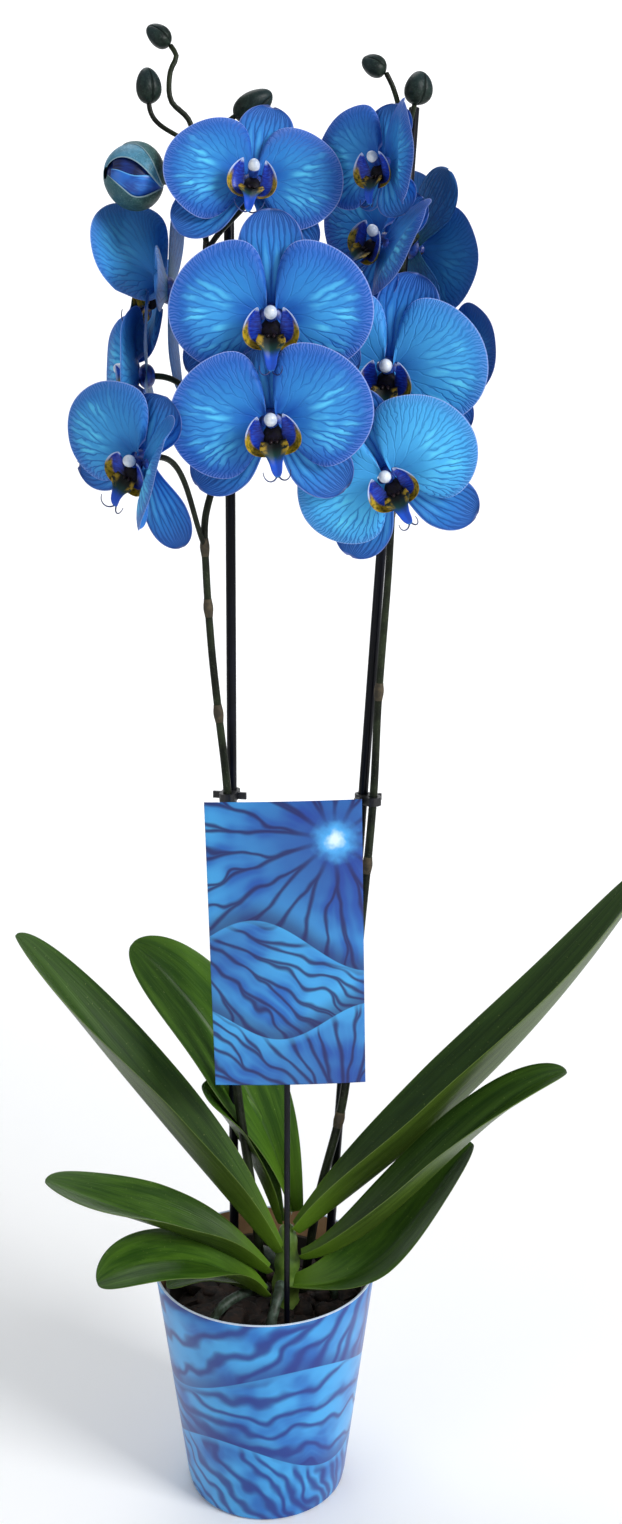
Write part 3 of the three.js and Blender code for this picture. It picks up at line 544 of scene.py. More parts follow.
def middle_lobe_material():
    """u runs across the lobe and v from its foot to its tip: black-green, ochre shoulders, then blue, with
    a painted highlight of pale blue at the tip.
    """
    g = Graph("lip_middle")
    u, v = g.uv()
    tone = g.attribute("tone")
    t = abs(2.0 * u - 1.0)
    mottle = g.noise(g.vector(u * 5.0, v * 9.0, tone * 19.0), 1.0, 3.0, 0.6)
    body = g.blend(v.step(0.12, 0.4), rgb("050b0a"), rgb("103634"))
    body = g.blend((v + mottle * 0.14).step(0.42, 0.72), body, rgb("1a4cba"))
    yellow = t.step(0.45, 0.75) * v.step(0.0, 0.1) * v.step(0.42, 0.25) * mottle.step(0.38, 0.58)
    body = g.blend(yellow, body, rgb("9a7f22"))
    # Painted highlight: pale blue at the tip of the lobe
    colour = g.blend(v.step(0.92, 1.0) * 0.6, body, rgb("4fa4de"))
    return g.finish(colour, 0.4, Specular_IOR_Level=0.22)


def plain_material(name, base, second, scale, roughness, relief=0.0, **others):
    """One colour clouded with a second, with a fine relief."""
    g = Graph(name)
    cloud = g.noise(g.object(), scale, 3.0, 0.6)
    colour = g.blend(cloud.step(0.35, 0.7), rgb(base), rgb(second))
    if relief:
        g.bump(cloud, relief)
    return g.finish(colour, roughness, **others)


def bud_material(name, colours, edge=0.0):
    """Waxy green skin, darker in the seams and bluer towards the tip, with a pale margin as strong as
    edge."""
    g = Graph(name)
    u, v = g.uv()
    mark = g.attribute("mark")
    cloud = g.noise(g.object(), 0.35, 3.0, 0.6)
    speck = g.noise(g.object(), 1.6, 2.0)
    dark, light, tip, spot = (rgb(code) for code in colours)
    colour = g.blend(cloud.step(0.3, 0.7), dark, light)
    colour = g.blend(v.step(0.2, 0.9) * 0.5, colour, tip)
    colour = g.blend(speck.step(0.55, 0.7) * 0.25, colour, spot)
    colour = g.blend(mark.step(0.9, 0.2) * 0.85, colour, rgb("0b1511"))
    margin = g.math("MINIMUM", u, 1.0 - u).step(0.03, 0.01)
    colour = g.blend(margin * edge, colour, rgb("9fb8c4"))
    g.bump(cloud + mark.step(0.0, 0.8), 0.25)
    return g.finish(colour, 0.4, Specular_IOR_Level=0.14)


def bud_petal_material(name, dark, light, streaks):
    """The folded petals inside the opening bud: two blues, streaked, with a painted highlight, a bright
    line, along the edge.
    """
    g = Graph(name)
    u, v = g.uv()
    cloud = g.noise(g.object(), 0.12, 2.0)
    streak = g.noise(g.vector(u * 14.0, v * 3.0), 1.0, 2.0)
    colour = g.blend(cloud.step(0.35, 0.65), rgb(dark), rgb(light))
    colour = g.blend(streak.step(0.5, 0.75) * 0.5, colour, rgb(streaks))
    # Painted highlight: a bright line along the edge
    colour = g.blend(u.step(0.94, 0.985) * 0.6, colour, rgb("6cbcf0"))
    return g.finish(colour, 0.35, Specular_IOR_Level=0.4)


def leaf_material():
    """Dark green above, olive below, with faint long veins, a dark midrib and a thin pale margin that is a
    painted highlight along the edge. The leaf's painted light makes the upper green lighter, standing in
    for the light that leaves further back get too little of."""
    g = Graph("leaf")
    u, v = g.uv()
    mark = g.attribute("mark")
    tone = g.attribute("tone")
    t = 2.0 * u - 1.0
    long_cloud = g.noise(g.vector(t * 5.0, v * 3.0, tone * 41.0), 1.0, 3.0, 0.6)
    lines = g.noise(g.vector(t * 38.0, v * 2.0, tone * 5.0), 1.0, 2.0)
    speck = g.noise(g.object(), 0.75, 2.0, 0.7)
    # Painted light: how much lighter the upper green is coloured, standing in for light the leaf lacks
    painted_light = g.attribute("pale")
    upper = g.blend(long_cloud.step(0.3, 0.75), rgb("1f3612"), rgb("35511c"))
    upper = g.blend(painted_light, upper, g.blend(long_cloud.step(0.3, 0.75), rgb("2c5410"), rgb("55801f")))
    lower = g.blend(long_cloud.step(0.3, 0.75), rgb("2f4312"), rgb("485e1e"))
    colour = g.blend(mark, lower, upper)
    colour = g.blend(lines.step(0.4, 0.75) * 0.14, colour, rgb("56742e"))
    colour = g.blend(speck.step(0.66, 0.74) * 0.4, colour, rgb("889a54"))
    colour = g.blend(v.step(0.3, 0.0) * 0.7, colour, rgb("5f8420"))
    colour = g.blend(abs(t).step(0.05, 0.015) * 0.25, colour, rgb("1c300c"))
    # Painted highlight: a thin pale line along the margin
    colour = g.blend(abs(t).step(0.975, 0.995) * 0.45, colour, rgb("768a48"))
    g.bump(lines * 0.5 + long_cloud * 0.5, 0.3)
    gloss = 0.42 - 0.1 * long_cloud
    return g.finish(colour, gloss, Specular_IOR_Level=0.2, Coat_Weight=0.03, Coat_Roughness=0.25)


def stem_material():
    """Near-black olive, a little greener in clouds, with small pale specks."""
    g = Graph("stem")
    place = g.object()
    cloud = g.noise(place, 0.06, 3.0, 0.6)
    speck = g.noise(place, 1.1, 2.0)
    colour = g.blend(cloud.step(0.35, 0.7), rgb("12150e"), rgb("293120"))
    colour = g.blend(speck.step(0.62, 0.72) * 0.35, colour, rgb("565e4a"))
    g.bump(speck, 0.12)
    return g.finish(colour, 0.4, Specular_IOR_Level=0.14)


def shells(g, x, y, layers, forks, colours):
    """A print of overlapping shells. Each layer is a fan of forked streaks round its own centre. The first
    fills the ground, and each later one is cut off by a wavy line and lies over the one before it with a
    light edge. Lengths are in millimetres."""
    deep, bright, pale, ink = colours
    colour = None
    cloud = g.noise(g.vector(x, y), 0.035, 2.0, 0.5)
    for centre, level, wave, streaks, thick in layers:
        dx, dy = x - centre[0], y - centre[1]
        radius = (dx * dx + dy * dy).power(0.5)
        sway = g.noise(g.vector(x, y, level * 0.3), 0.05, 1.0) - 0.5
        angle = g.math("ARCTAN2", dy, dx) / (2 * math.pi) + sway * 0.035
        grown = [(radius + sway * 50.0).step(16.0 + 30.0 * k, 46.0 + 36.0 * k) for k in range(forks)]
        distance = forked(angle * streaks, grown) * radius * (2 * math.pi / streaks)
        swell = g.noise(g.vector(x, y, level * 0.7), 0.11, 2.0)
        streak = distance.step(thick * (0.55 + swell), thick * 0.1) * radius.step(4.0, 22.0)
        body = g.blend(cloud.step(0.35, 0.6), rgb(bright), rgb(pale))
        body = g.blend(distance.step(thick * 1.2, thick * 3.0) * 0.45, body, rgb(pale))
        body = g.blend((radius / 80.0).step(1.0, 0.1) * 0.8, body, rgb(deep))
        body = g.blend(streak * 0.9, body, rgb(ink))
        if colour is None:
            colour = body
            continue
        line = y - level - (x * wave[1] + wave[2]).math("SINE") * wave[0]
        colour = g.blend(line.step(14.0, 0.0) * line.step(-1.0, 0.0) * 0.75, colour, rgb(ink))
        body = g.blend(line.step(-5.0, -0.2) * 0.55, body, rgb(pale))
        colour = g.blend(line.step(0.3, -0.3), colour, body)
    return colour


def vase_print():
    """The print runs round the cover by the arc from its front, and up it by the height."""
    g = Graph("vase_print")
    x, y, z = g.split(g.object())
    arc = g.math("ARCTAN2", x, 0.0 - y) * PRINT_RADIUS
    layers = [
        ((70.0, 165.0), 0.0, (0, 0, 0), 12.0, 4.0),
        ((-110.0, 66.0), 86.0, (13.0, 0.036, 0.9), 15.0, 3.6),
        ((64.0, -52.0), 40.0, (11.0, 0.044, 2.6), 17.0, 3.4),
    ]
    colour = shells(g, arc, z, layers, 2, ("183e9c", "1b66b6", "3d9fde", "132c80"))
    return g.finish(colour, 0.32, Specular_IOR_Level=0.35, Coat_Weight=0.2, Coat_Roughness=0.2)


def card_print():
    """Finer streaks than the cover's, and a glowing spot where those of the lowest layer meet."""
    g = Graph("card_print")
    u, v = g.uv()
    x, y = u * float(CARD["width"]), v * float(CARD["height"])
    layers = [
        (GLOW["at"], 0.0, (0, 0, 0), 14.0, 1.7),
        ((-22.0, 92.0), 74.0, (14.0, 0.055, 0.4), 17.0, 1.6),
        ((62.0, -20.0), 34.0, (9.0, 0.07, 2.4), 19.0, 1.6),
    ]
    colour = shells(g, x, y, layers, 3, ("142c88", "1a62b4", "3fa2e0", "151a58"))
    dx, dy = x - GLOW["at"][0], y - GLOW["at"][1]
    spot = (dx * dx + dy * dy).power(0.5) + (g.noise(g.vector(x, y), 0.2) - 0.5) * 7.0
    colour = g.blend(spot.step(GLOW["reach"], 4.0), colour, rgb("4aa8ea"))
    colour = g.blend(spot.step(GLOW["core"], 1.0), colour, rgb("d8f0f8"))
    return g.finish(colour, 0.3, Specular_IOR_Level=0.35, Coat_Weight=0.15, Coat_Roughness=0.15)


PETAL = petal_material()
SEPAL = sepal_material()
LOBE = side_lobe_material()
MIDDLE = middle_lobe_material()
# The cap's white is clouded with grey-blue as painted shade, standing in for the grey shading on the glossy
# cap
CAP = plain_material("lip_cap", "dce2ea", "a9b6cc", 0.2, 0.3)
COLUMN = plain_material("lip_column", "11246c", "2450ac", 0.5, 0.4)
THROAT = plain_material("lip_throat", "040307", "0e0a1e", 0.6, 0.55, Specular_IOR_Level=0.12)
CALLUS = plain_material("lip_callus", "1e1218", "0a0508", 0.9, 0.4, Specular_IOR_Level=0.2)
TENDRIL = plain_material("lip_tendril", "101c4a", "1d3a86", 0.9, 0.4)
BUD = bud_material("bud", ("0f1713", "222e27", "1e3038", "44564e"))
OPEN_BUD = bud_material("opening_bud", ("243a34", "3c5a50", "3c6a7c", "7da0a0"), 0.6)
# A lighter, bluer copy of the bud skin for the upper sepal of the opening bud: partly its own teal-blue and
# partly painted light falling on its top
BUD_UPPER_LIT = bud_material("opening_bud_upper_lit", ("35606e", "5186a0", "4f8cae", "9cc4d2"), 0.6)
BUD_PETAL = bud_petal_material("bud_petal", "154296", "2468c4", "3a92e6")
# A darker copy of the petal colours for the petals deep in the opening bud: painted shade
BUD_PETAL_SHADED = bud_petal_material("bud_petal_shaded", "08133c", "10286c", "1b4496")
LEAF = leaf_material()
STEM = stem_material()
STAKE_DARK = plain_material("stake_plastic", "06070d", "0b0d18", 0.05, 0.3, Specular_IOR_Level=0.18)
CLIP_DARK = plain_material("clip_plastic", "0c0c10", "15151a", 0.2, 0.45)
POT_DARK = plain_material("pot_plastic", "1e1b19", "29251f", 0.05, 0.45)
KRAFT = plain_material("kraft", "8a6a48", "7a5a3a", 0.08, 0.75)
PAPER = plain_material("paper_edge", "c8d4e2", "b4c4d8", 0.2, 0.7)
BARK = plain_material("bark", "0d0907", "2c1c12", 0.22, 0.85, 0.8)
ROOT = plain_material("root", "1f2c1c", "44564a", 0.3, 0.55, 0.3)
CROWN = plain_material("crown", "4b6a26", "6f8a3a", 0.1, 0.45, 0.2)
BRACT = plain_material("bract", "2c2618", "4c4029", 0.3, 0.7, 0.2)
VASE_PRINT = vase_print()
CARD_PRINT = card_print()


# Blooms: the centre, the azimuth and elevation that each faces, its roll and width, its stem, and the
# share of the stem's length where its stalk leaves. Some have their own fold of the left and the right
# petal, directions and lengths of the sepals, bend of the stalk, or pale, which is painted light: how much
# lighter the bloom is coloured, standing in for the light that falls on it.
BLOOMS = [
    {"at": (-0.8, -34, 684), "facing": (4, 22), "roll": -8, "width": 80, "stem": 0, "from": 0.86,
     "sepals": (84, 216, 318)},
    {"at": (7.4, -46, 626.5), "facing": (0, -8), "roll": 0, "width": 91, "stem": 0, "from": 0.79},
    {"at": (7.6, -50, 581), "facing": (0, -9), "roll": 7, "width": 92, "stem": 0, "from": 0.72,
     "sepals": (88, 214, 310), "upper": 30},
    {"at": (-44, -1, 640), "facing": (-95, 0), "roll": 40, "width": 94, "stem": 0, "from": 0.8,
     "fold": (30, 34), "pale": 0.4},
    {"at": (-54.5, -5, 601), "facing": (-88, 0), "roll": 2, "width": 86, "stem": 0, "from": 0.72,
     "fold": (26, 6), "sepals": (58, 213, 320), "pale": 0.2},
    {"at": (-51.5, -47, 563.5), "facing": (-33, -10), "roll": -28, "width": 85, "stem": 0, "from": 0.655,
     "fold": (0, 45), "sepals": (90, 213, 316), "upper": 32, "pale": 0.3},
    {"at": (57, -38, 691), "facing": (-38, 0), "roll": 0, "width": 72, "stem": 1, "from": 0.93,
     "fold": (0, 32), "sepals": (84, 216, 292), "upper": 30, "lower": 26},
    {"at": (57.5, -18, 660), "facing": (-42, 14), "roll": -32, "width": 79, "stem": 1, "from": 0.84,
     "fold": (0, 26), "sepals": (86, 213, 300), "upper": 28, "lower": 27},
    {"at": (75, 28, 661), "facing": (132, -4), "roll": 36, "width": 82, "stem": 1, "from": 0.89,
     "bend": (10, -2, 2), "pale": 0.25},
    {"at": (61, -24, 604), "facing": (-12, -8), "roll": -5, "width": 92, "stem": 1, "from": 0.79,
     "sepals": (78, 213, 327), "upper": 41, "pale": 0.6},
    {"at": (61.5, -37, 556), "facing": (-8, -10), "roll": 29, "width": 88, "stem": 1, "from": 0.7,
     "sepals": (90, 214, 306), "pale": 1.0},
    {"at": (89, 14, 608), "facing": (118, -8), "roll": 4, "width": 78, "stem": 1, "from": 0.77,
     "upper": 24},
]


def bloom_frame(bloom):
    """The rows right, up and out of a bloom's own frame, scaled to its width."""
    azimuth, elevation = np.radians(bloom["facing"])
    roll = math.radians(bloom["roll"])
    out = np.array(
        [
            math.sin(azimuth) * math.cos(elevation),
            -math.cos(azimuth) * math.cos(elevation),
            math.sin(elevation),
        ]
    )
    level = np.array([math.cos(azimuth), math.sin(azimuth), 0.0])
    rise = np.cross(out, level)
    right = level * math.cos(roll) + rise * math.sin(roll)
    up = rise * math.cos(roll) - level * math.sin(roll)
    return np.stack([right, up, out]) * bloom["width"] / FLOWER["width"]


def petal_reach(angle):
    """How far a petal reaches from its claw along a ray: R (1 - k sin^2 a) (1 - (|a| / limit)^12)."""
    upper = angle >= 0
    limit = np.radians(np.where(upper, 88.0, 72.0))
    taper = np.where(upper, 0.25, 0.4)
    return FLOWER["petal"] * (1 - taper * np.sin(angle) ** 2) * (1 - (np.abs(angle) / limit) ** 12)


def petal(sign, fold, phase):
    """A fan of rays from the claw, at angle a and share s of its reach R(a):
    (sign (2 + x cos f - d sin f), 1 + y, x sin f + d cos f), where x = s R cos(a + 5 deg),
    y = s R sin(a + 5 deg), f = fold min(x / 26, 1), and the dome is
    d = 0.8 + 3.6 sin 2.3s - 4.5 s^2 sin^2 a + 0.55 s^3 (sin(4a + p) + 0.6 sin(9a + 2p))."""

    def surface(u, v):
        angle = np.radians(mix(-70.0, 85.5, u))
        share = mix(0.09, 1.0, v)
        reach = share * petal_reach(angle)
        out = reach * np.cos(angle + math.radians(5))
        lift = reach * np.sin(angle + math.radians(5))
        bend = math.radians(fold) * np.minimum(out / 26, 1)
        ruffle = 0.55 * share**3 * (np.sin(4 * angle + phase) + 0.6 * np.sin(9 * angle + 2 * phase))
        dome = 0.8 + 3.6 * np.sin(share * 2.3) - 4.5 * share**2 * np.sin(angle) ** 2 + ruffle
        return vec(
            sign * (2 + out * np.cos(bend) - dome * np.sin(bend)),
            1 + lift,
            out * np.sin(bend) + dome * np.cos(bend),
        )

    return blade(surface, GRID["petal"], lambda u, v: 0.75 - 0.3 * v)


def sepal(direction, length, width, phase):
    """An oval blade behind the petals: t across it and s along it, at reach 2 + s length along its
    direction. Half its width grows from 0.36 to 1 up to s = 0.6 and is then
    (1 - ((s - 0.6) / 0.4)^2.3)^0.5, and it lies at z = -2.4 - 3s^2 + 1.4 t^2 s with a slow ruffle."""
    turn = math.radians(direction)
    widest = 0.6

    def surface(u, v):
        t = 2 * u - 1
        s = mix(0.04, 0.998, v)
        end = np.sqrt(1 - (np.maximum(s - widest, 0) / (1 - widest)) ** 2.3)
        half = width / 2 * np.where(s < widest, mix(0.36, 1.0, smooth(s / widest)), end)
        reach = 2 + s * length
        ruffle = 0.5 * s * s * t * np.sin(6 * s + phase)
        x = reach * math.cos(turn) - t * half * math.sin(turn)
        y = reach * math.sin(turn) + t * half * math.cos(turn)
        return vec(x, y, -2.4 - 3 * s * s + 1.4 * t * t * s + ruffle)

    return blade(surface, GRID["sepal"], lambda u, v: 0.75 - 0.25 * v, slot=1)


LOBE_INNER = [(0.5, -8, 5.5), (4.4, -10, 5.0), (3.4, -2, 6.5), (5.3, 5.3, 13)]
LOBE_RIM = [(2.6, -13, 9.5), (16.5, -13, 11), (13.5, 1, 12.5), (5.6, 5.6, 13.2)]
MIDDLE_KEEL = [(0, -7.5, 7.5), (0, -13, 11), (0, -16, 15), (0, -22, 12)]


def side_lobe(sign):
    """A wing of the lip, ruled from its inner edge to its rim, which meet in the horn at its top, and
    bowed between them by 1.6 sin(pi u) (sin pi v)^0.5 along (0.7, -0.3, -1)."""

    def surface(u, v):
        share = u[..., None]
        point = cubic(LOBE_INNER, v) * (1 - share) + cubic(LOBE_RIM, v) * share
        bow = 1.6 * np.sin(math.pi * u) * np.sin(math.pi * v) ** 0.5
        point = point + vec(0.7 * bow, -0.3 * bow, -bow)
        return point * np.array([sign, 1, 1])

    return blade(surface, GRID["side_lobe"], lambda u, v: 0.9 - 0.35 * u, (-sign, 0.2, 0.8))


def middle_lobe():
    """The keel curve plus (t h, 0.3 l, 0.35 l), where l = h (t^2 + 0.02)^0.5. The half width h falls from
    5.6 at the foot to 2.6, with a shoulder of 1.4 sin^2 near the foot, and rounds off from v = 0.7."""

    def surface(u, v):
        t = 2 * u - 1
        half = mix(5.6, 2.6, smooth(v * 1.3)) + 1.4 * np.sin(math.pi * np.minimum(v * 2.2, 1)) ** 2
        half = half * np.sqrt(1 - 0.9 * (np.maximum(v - 0.7, 0) / 0.3) ** 2)
        lift = np.sqrt(t * t + 0.02) * half
        return cubic(MIDDLE_KEEL, v) + vec(t * half, 0.3 * lift, 0.35 * lift)

    return blade(surface, GRID["middle_lobe"], lambda u, v: 1.0 - 0.3 * v, slot=1)


def tendril(sign, curl):
    """One of the two thin threads at the tip of the lip, a cubic curve of radius 0.4 (1 - 0.5 s)."""
    tip = np.array([0.6 * sign, -21.6, 12.2])
    path = [
        tip,
        tip + [1.6 * sign, -2.5, 2.2],
        tip + [(4.5 + curl) * sign, -1.0, 4.5],
        tip + [(3.5 + 2 * curl) * sign, 2.5 + curl, 3.5],
    ]
    return tube(bezier_path(path), lambda s: 0.4 * (1 - 0.5 * s), 10, 20, slot=6)


def make_bloom(number, bloom):
    """The petals and sepals round their base are one piece, and the lip with its column is another."""
    rng = np.random.default_rng(number)
    phases = rng.uniform(0, 6.28, 5)
    tone = float(rng.uniform(0, 1))
    turn, at = bloom_frame(bloom), np.array(bloom["at"])
    fold = bloom.get("fold", (0, 0))
    upper, left, right = bloom.get("sepals", (90, 213, 327))
    lower = bloom.get("lower", FLOWER["sepal"])
    width = FLOWER["sepal_width"]
    parts = [
        egg((0, 0, -1.9), (0, 0, 1), 8.8, 12, 28, 16, slot=2),
        petal(-1, fold[0], phases[0]),
        petal(1, fold[1], phases[1]),
        sepal(upper, bloom.get("upper", FLOWER["sepal"]), width, phases[2]),
        sepal(left, lower, width - 2, phases[3]),
        sepal(right, lower, width - 2, phases[4]),
    ]
    name = f"bloom_{number:02d}"
    placed = [part.placed(turn, at) for part in parts]
    # pale is the bloom's painted light, how much lighter its petals are coloured
    pale = bloom.get("pale", 0.0)
    piece(f"{name}_blades", placed, [PETAL, SEPAL, COLUMN], [f"{name}_petals"], tone, pale)
    column = Path(np.array([[0, -0.4, 3.3], [0, 2.6, 10]]))
    curl = float(rng.uniform(0, 2))
    parts = [
        side_lobe(1),
        side_lobe(-1),
        middle_lobe(),
        tendril(1, curl),
        tendril(-1, curl),
        tube(column, lambda s: 2.2 + 0.5 * s, 20, 8, slot=2),
        egg((0, 3.2, 11), (0, 0.5, 1), 7.2, 5.8, 28, 18, slot=3),
        egg((0, -4.8, 5.2), (0, 0, 1), 6.4, 9.6, 28, 16, slot=4),
        egg((1.2, -6.8, 8.4), (0.2, -0.5, 1), 2.8, 1.7, 16, 10, slot=5),
        egg((-1.2, -6.8, 8.4), (-0.2, -0.5, 1), 2.8, 1.7, 16, 10, slot=5),
    ]
    placed = [part.placed(turn, at) for part in parts]
    materials = [LOBE, MIDDLE, COLUMN, CAP, THROAT, CALLUS, TENDRIL]
    piece(f"{name}_lip_parts", placed, materials, [f"{name}_lip"], tone)


for number, bloom in enumerate(BLOOMS, 1):
    make_bloom(number, bloom)


# Buds: place, direction of the tip, length and width, and where a stalk leaves the stem
BUDS = [
    {"name": "bud_left_top", "at": (-43.6, -5, 749.6), "to": (-0.8, 0, 0.6), "size": (12.5, 9.5)},
    {"name": "bud_left_upper", "at": (-48.8, -6, 728.6), "to": (-0.04, 0, 1), "size": (15.5, 11.5),
     "stem": 0, "from": 0.925},
    {"name": "bud_left_behind", "at": (-1.5, 0, 721.5), "to": (0.85, 0, 0.5), "size": (20, 12.5),
     "stem": 0, "from": 0.9},
    {"name": "bud_opening", "at": (-54.5, -22, 688), "to": (-0.86, -0.38, 0.1), "size": (27, 28),
     "stem": 0, "from": 0.87},
    {"name": "bud_right_top", "at": (53.6, 0, 738), "to": (-0.85, 0, 0.45), "size": (12, 9.5)},
    {"name": "bud_right_upper", "at": (73.8, 0, 728.6), "to": (0.2, -0.1, 0.95), "size": (14.5, 13),
     "stem": 1, "from": 0.94},
]


def bud_swell(w, s):
    """Three seams run from the foot to the tip: k = (1 - 0.07 cos 3w (1 - s^4)) (1 - 0.14 s), less in a
    seam."""
    seam = np.exp(-(((np.abs((3 * w / (2 * math.pi) + 0.5) % 1 - 0.5)) / 0.045) ** 2))
    lobes = (1 - 0.07 * np.cos(3 * w) * (1 - s**4)) * (1 - 0.14 * s)
    return lobes - 0.05 * seam * (1 - s**4), 1 - seam


def make_bud(bud):
    """A closed bud is an egg with three seams."""
    length, width = bud["size"]
    part = egg(bud["at"], bud["to"], length, width, 72, 40, bud_swell)
    piece(f"{bud['name']}_skin", [part], [BUD], [bud["name"]])


def bud_shell(bud, begin, end, first, last, swell, slot=0):
    """A piece of the bud's egg, swell times as wide, between two angles round its axis, each a function
    of the way along s, and from s = first to s = last. Both are counted from 175 + 25 s degrees, where
    the bud opens."""
    length, width = bud["size"]
    d = unit(np.array(bud["to"], float))
    a = unit(np.cross(d, [0, 0, 1]))
    b = np.cross(d, a)

    def surface(u, v):
        s = mix(first, last, v)
        w = np.radians(175 + 25 * s + mix(begin(s), end(s), u))
        reach = width / 2 * np.sqrt(np.maximum(1 - s * s, 0)) * swell * (1 - 0.08 * s)
        middle = np.array(bud["at"]) + d * (length / 2 * s)[..., None]
        return middle + reach[..., None] * (a * np.cos(w)[..., None] + b * np.sin(w)[..., None])

    return surface, slot


def make_opening_bud(bud):
    """Sepals that part in front, one lapped over another, with petals still folded inside them. The gap
    grows from nothing at the foot to 46 degrees."""
    length, width = bud["size"]

    def gap(s):
        return 46 * smooth((s + 0.95) / 1.3)

    shells_of_bud = [
        # The upper sepal, in the lighter copy of the bud skin that carries painted light
        bud_shell(bud, lambda s: 14 + 18 * s, lambda s: 135, -0.97, 0.985, 0.99, 2),
        bud_shell(bud, lambda s: -130, lambda s: -gap(s), -0.97, 0.97, 1.0),
        bud_shell(bud, lambda s: 125, lambda s: 240, -0.97, 0.97, 0.97),
        bud_shell(bud, lambda s: 2 + 70 * smooth((s + 1) / 1.5), lambda s: 150, -0.97, 0.42, 1.04),
        bud_shell(bud, lambda s: -70, lambda s: 2 - 14 * s - 6 * np.sin(4 * s), -0.85, 0.9, 0.9, 1),
        # The deepest folded petal, in the darker copy of the petal colours: painted shade
        bud_shell(bud, lambda s: -20 - 10 * s, lambda s: 50, -0.85, 0.85, 0.82, 3),
    ]
    parts = []
    for surface, slot in shells_of_bud:
        shell = blade(surface, GRID["bud_shell"], lambda u, v: 1.1, slot=slot)
        # Both faces are bare skin, with no dark seam
        shell.mark[:] = 1
        parts.append(shell)
    # The inner egg of folded petals, also in the darker copy: painted shade
    parts.append(egg(bud["at"], bud["to"], length * 0.9, width * 0.72, 48, 30, slot=3))
    piece("bud_opening_sepals", parts, [OPEN_BUD, BUD_PETAL, BUD_UPPER_LIT, BUD_PETAL_SHADED], [bud["name"]])


for bud in BUDS:
    if bud["name"] == "bud_opening":
        make_opening_bud(bud)
    else:
        make_bud(bud)


# Stems, with the stalks of blooms and buds and the sheathed joints
STEMS = [
    [
        (1, 7, 80), (-6, 7, 160), (-15, 6, 236), (-17.6, 6, 320), (-17.6, 6, 392),
        (-21.8, 5, 438), (-24.6, 4, 470), (-26.5, 2, 508), (-26.5, 0, 533), (-22, 0, 552),
        (-19.6, 0, 576), (-20.8, -2, 617), (-23.7, -4, 662), (-27.2, -5, 697), (-30.5, -6, 714),
        (-38.3, -8, 722), (-38.4, -8, 734), (-35.6, -6.5, 741), (-38.1, -5.2, 745.4),
    ],
    [
        (17, 7, 80), (28.5, 10, 160), (42.5, 11.5, 222), (50, 12, 306), (56.9, 10, 389),
        (59, 9, 442), (63.1, 8, 503), (64.2, 6, 528), (65.2, 5, 566), (66.6, 5, 604),
        (67.9, 4, 645), (68.1, 3, 689), (65.8, 2, 718), (62.5, 1, 729), (59.4, 0.1, 734.7),
    ],
]

# Shares of each stem's length where it has a joint without a stalk
JOINTS = [(0.3, 0.53, 0.61), (0.2, 0.42, 0.56)]


def stem_radius(share):
    return mix(*STEM_RADIUS, share**1.5)


def stalk(start, end, arriving, radii, bend=(0, 0, 0)):
    """A cubic curve that leaves the stem a little upwards and comes in along the bloom's axis."""
    reach = 0.42 * np.linalg.norm(end - start)
    bend = np.array(bend, float)
    path = [
        start,
        mix(start, end, 0.3) + [0, 0, 0.25 * reach] + bend,
        end - np.asarray(arriving) * reach + bend,
        end,
    ]
    return tube(bezier_path(path), lambda s: mix(radii[0], radii[1], s), 14, 30)


def bract(path, share):
    """A dry sheath round a joint of the stem: a short sleeve, 0.12 + 0.5 (sin pi s)^1.5 thick, so widest
    at its middle."""
    span = 4.5 / path.length
    centre = Path(path.at(np.linspace(share - span, share + span, 12)))
    inner = stem_radius(share) + 0.12
    return tube(centre, lambda s: inner + 0.5 * np.sin(math.pi * s) ** 1.5, 20, 14, slot=1, dome=0.1)


def make_stem(index, name):
    """A flower stem with the stalks of its blooms and buds, and a sheath at each joint."""
    path = route(STEMS[index])
    parts = [tube(path, stem_radius, 20, 260)]
    for bloom in BLOOMS:
        if bloom["stem"] != index:
            continue
        out = unit(bloom_frame(bloom)[2])
        back = np.array(bloom["at"]) - FLOWER["back"] * bloom_frame(bloom)[2] + 0.3 * out
        start = path.at(bloom["from"])
        parts.append(stalk(start, back, out, STALK_RADII["bloom"], bloom.get("bend", (0, 0, 0))))
        parts.append(bract(path, bloom["from"]))
    for bud in BUDS:
        if bud.get("stem") != index:
            continue
        towards = unit(np.array(bud["to"], float))
        foot = np.array(bud["at"]) - towards * (bud["size"][0] / 2 - 0.4)
        parts.append(stalk(path.at(bud["from"]), foot, towards, STALK_RADII["bud"]))
    parts.extend(bract(path, share) for share in JOINTS[index])
    piece(f"{name}_skin", parts, [STEM, BRACT], [name])


make_stem(0, "stem_left")
make_stem(1, "stem_right")


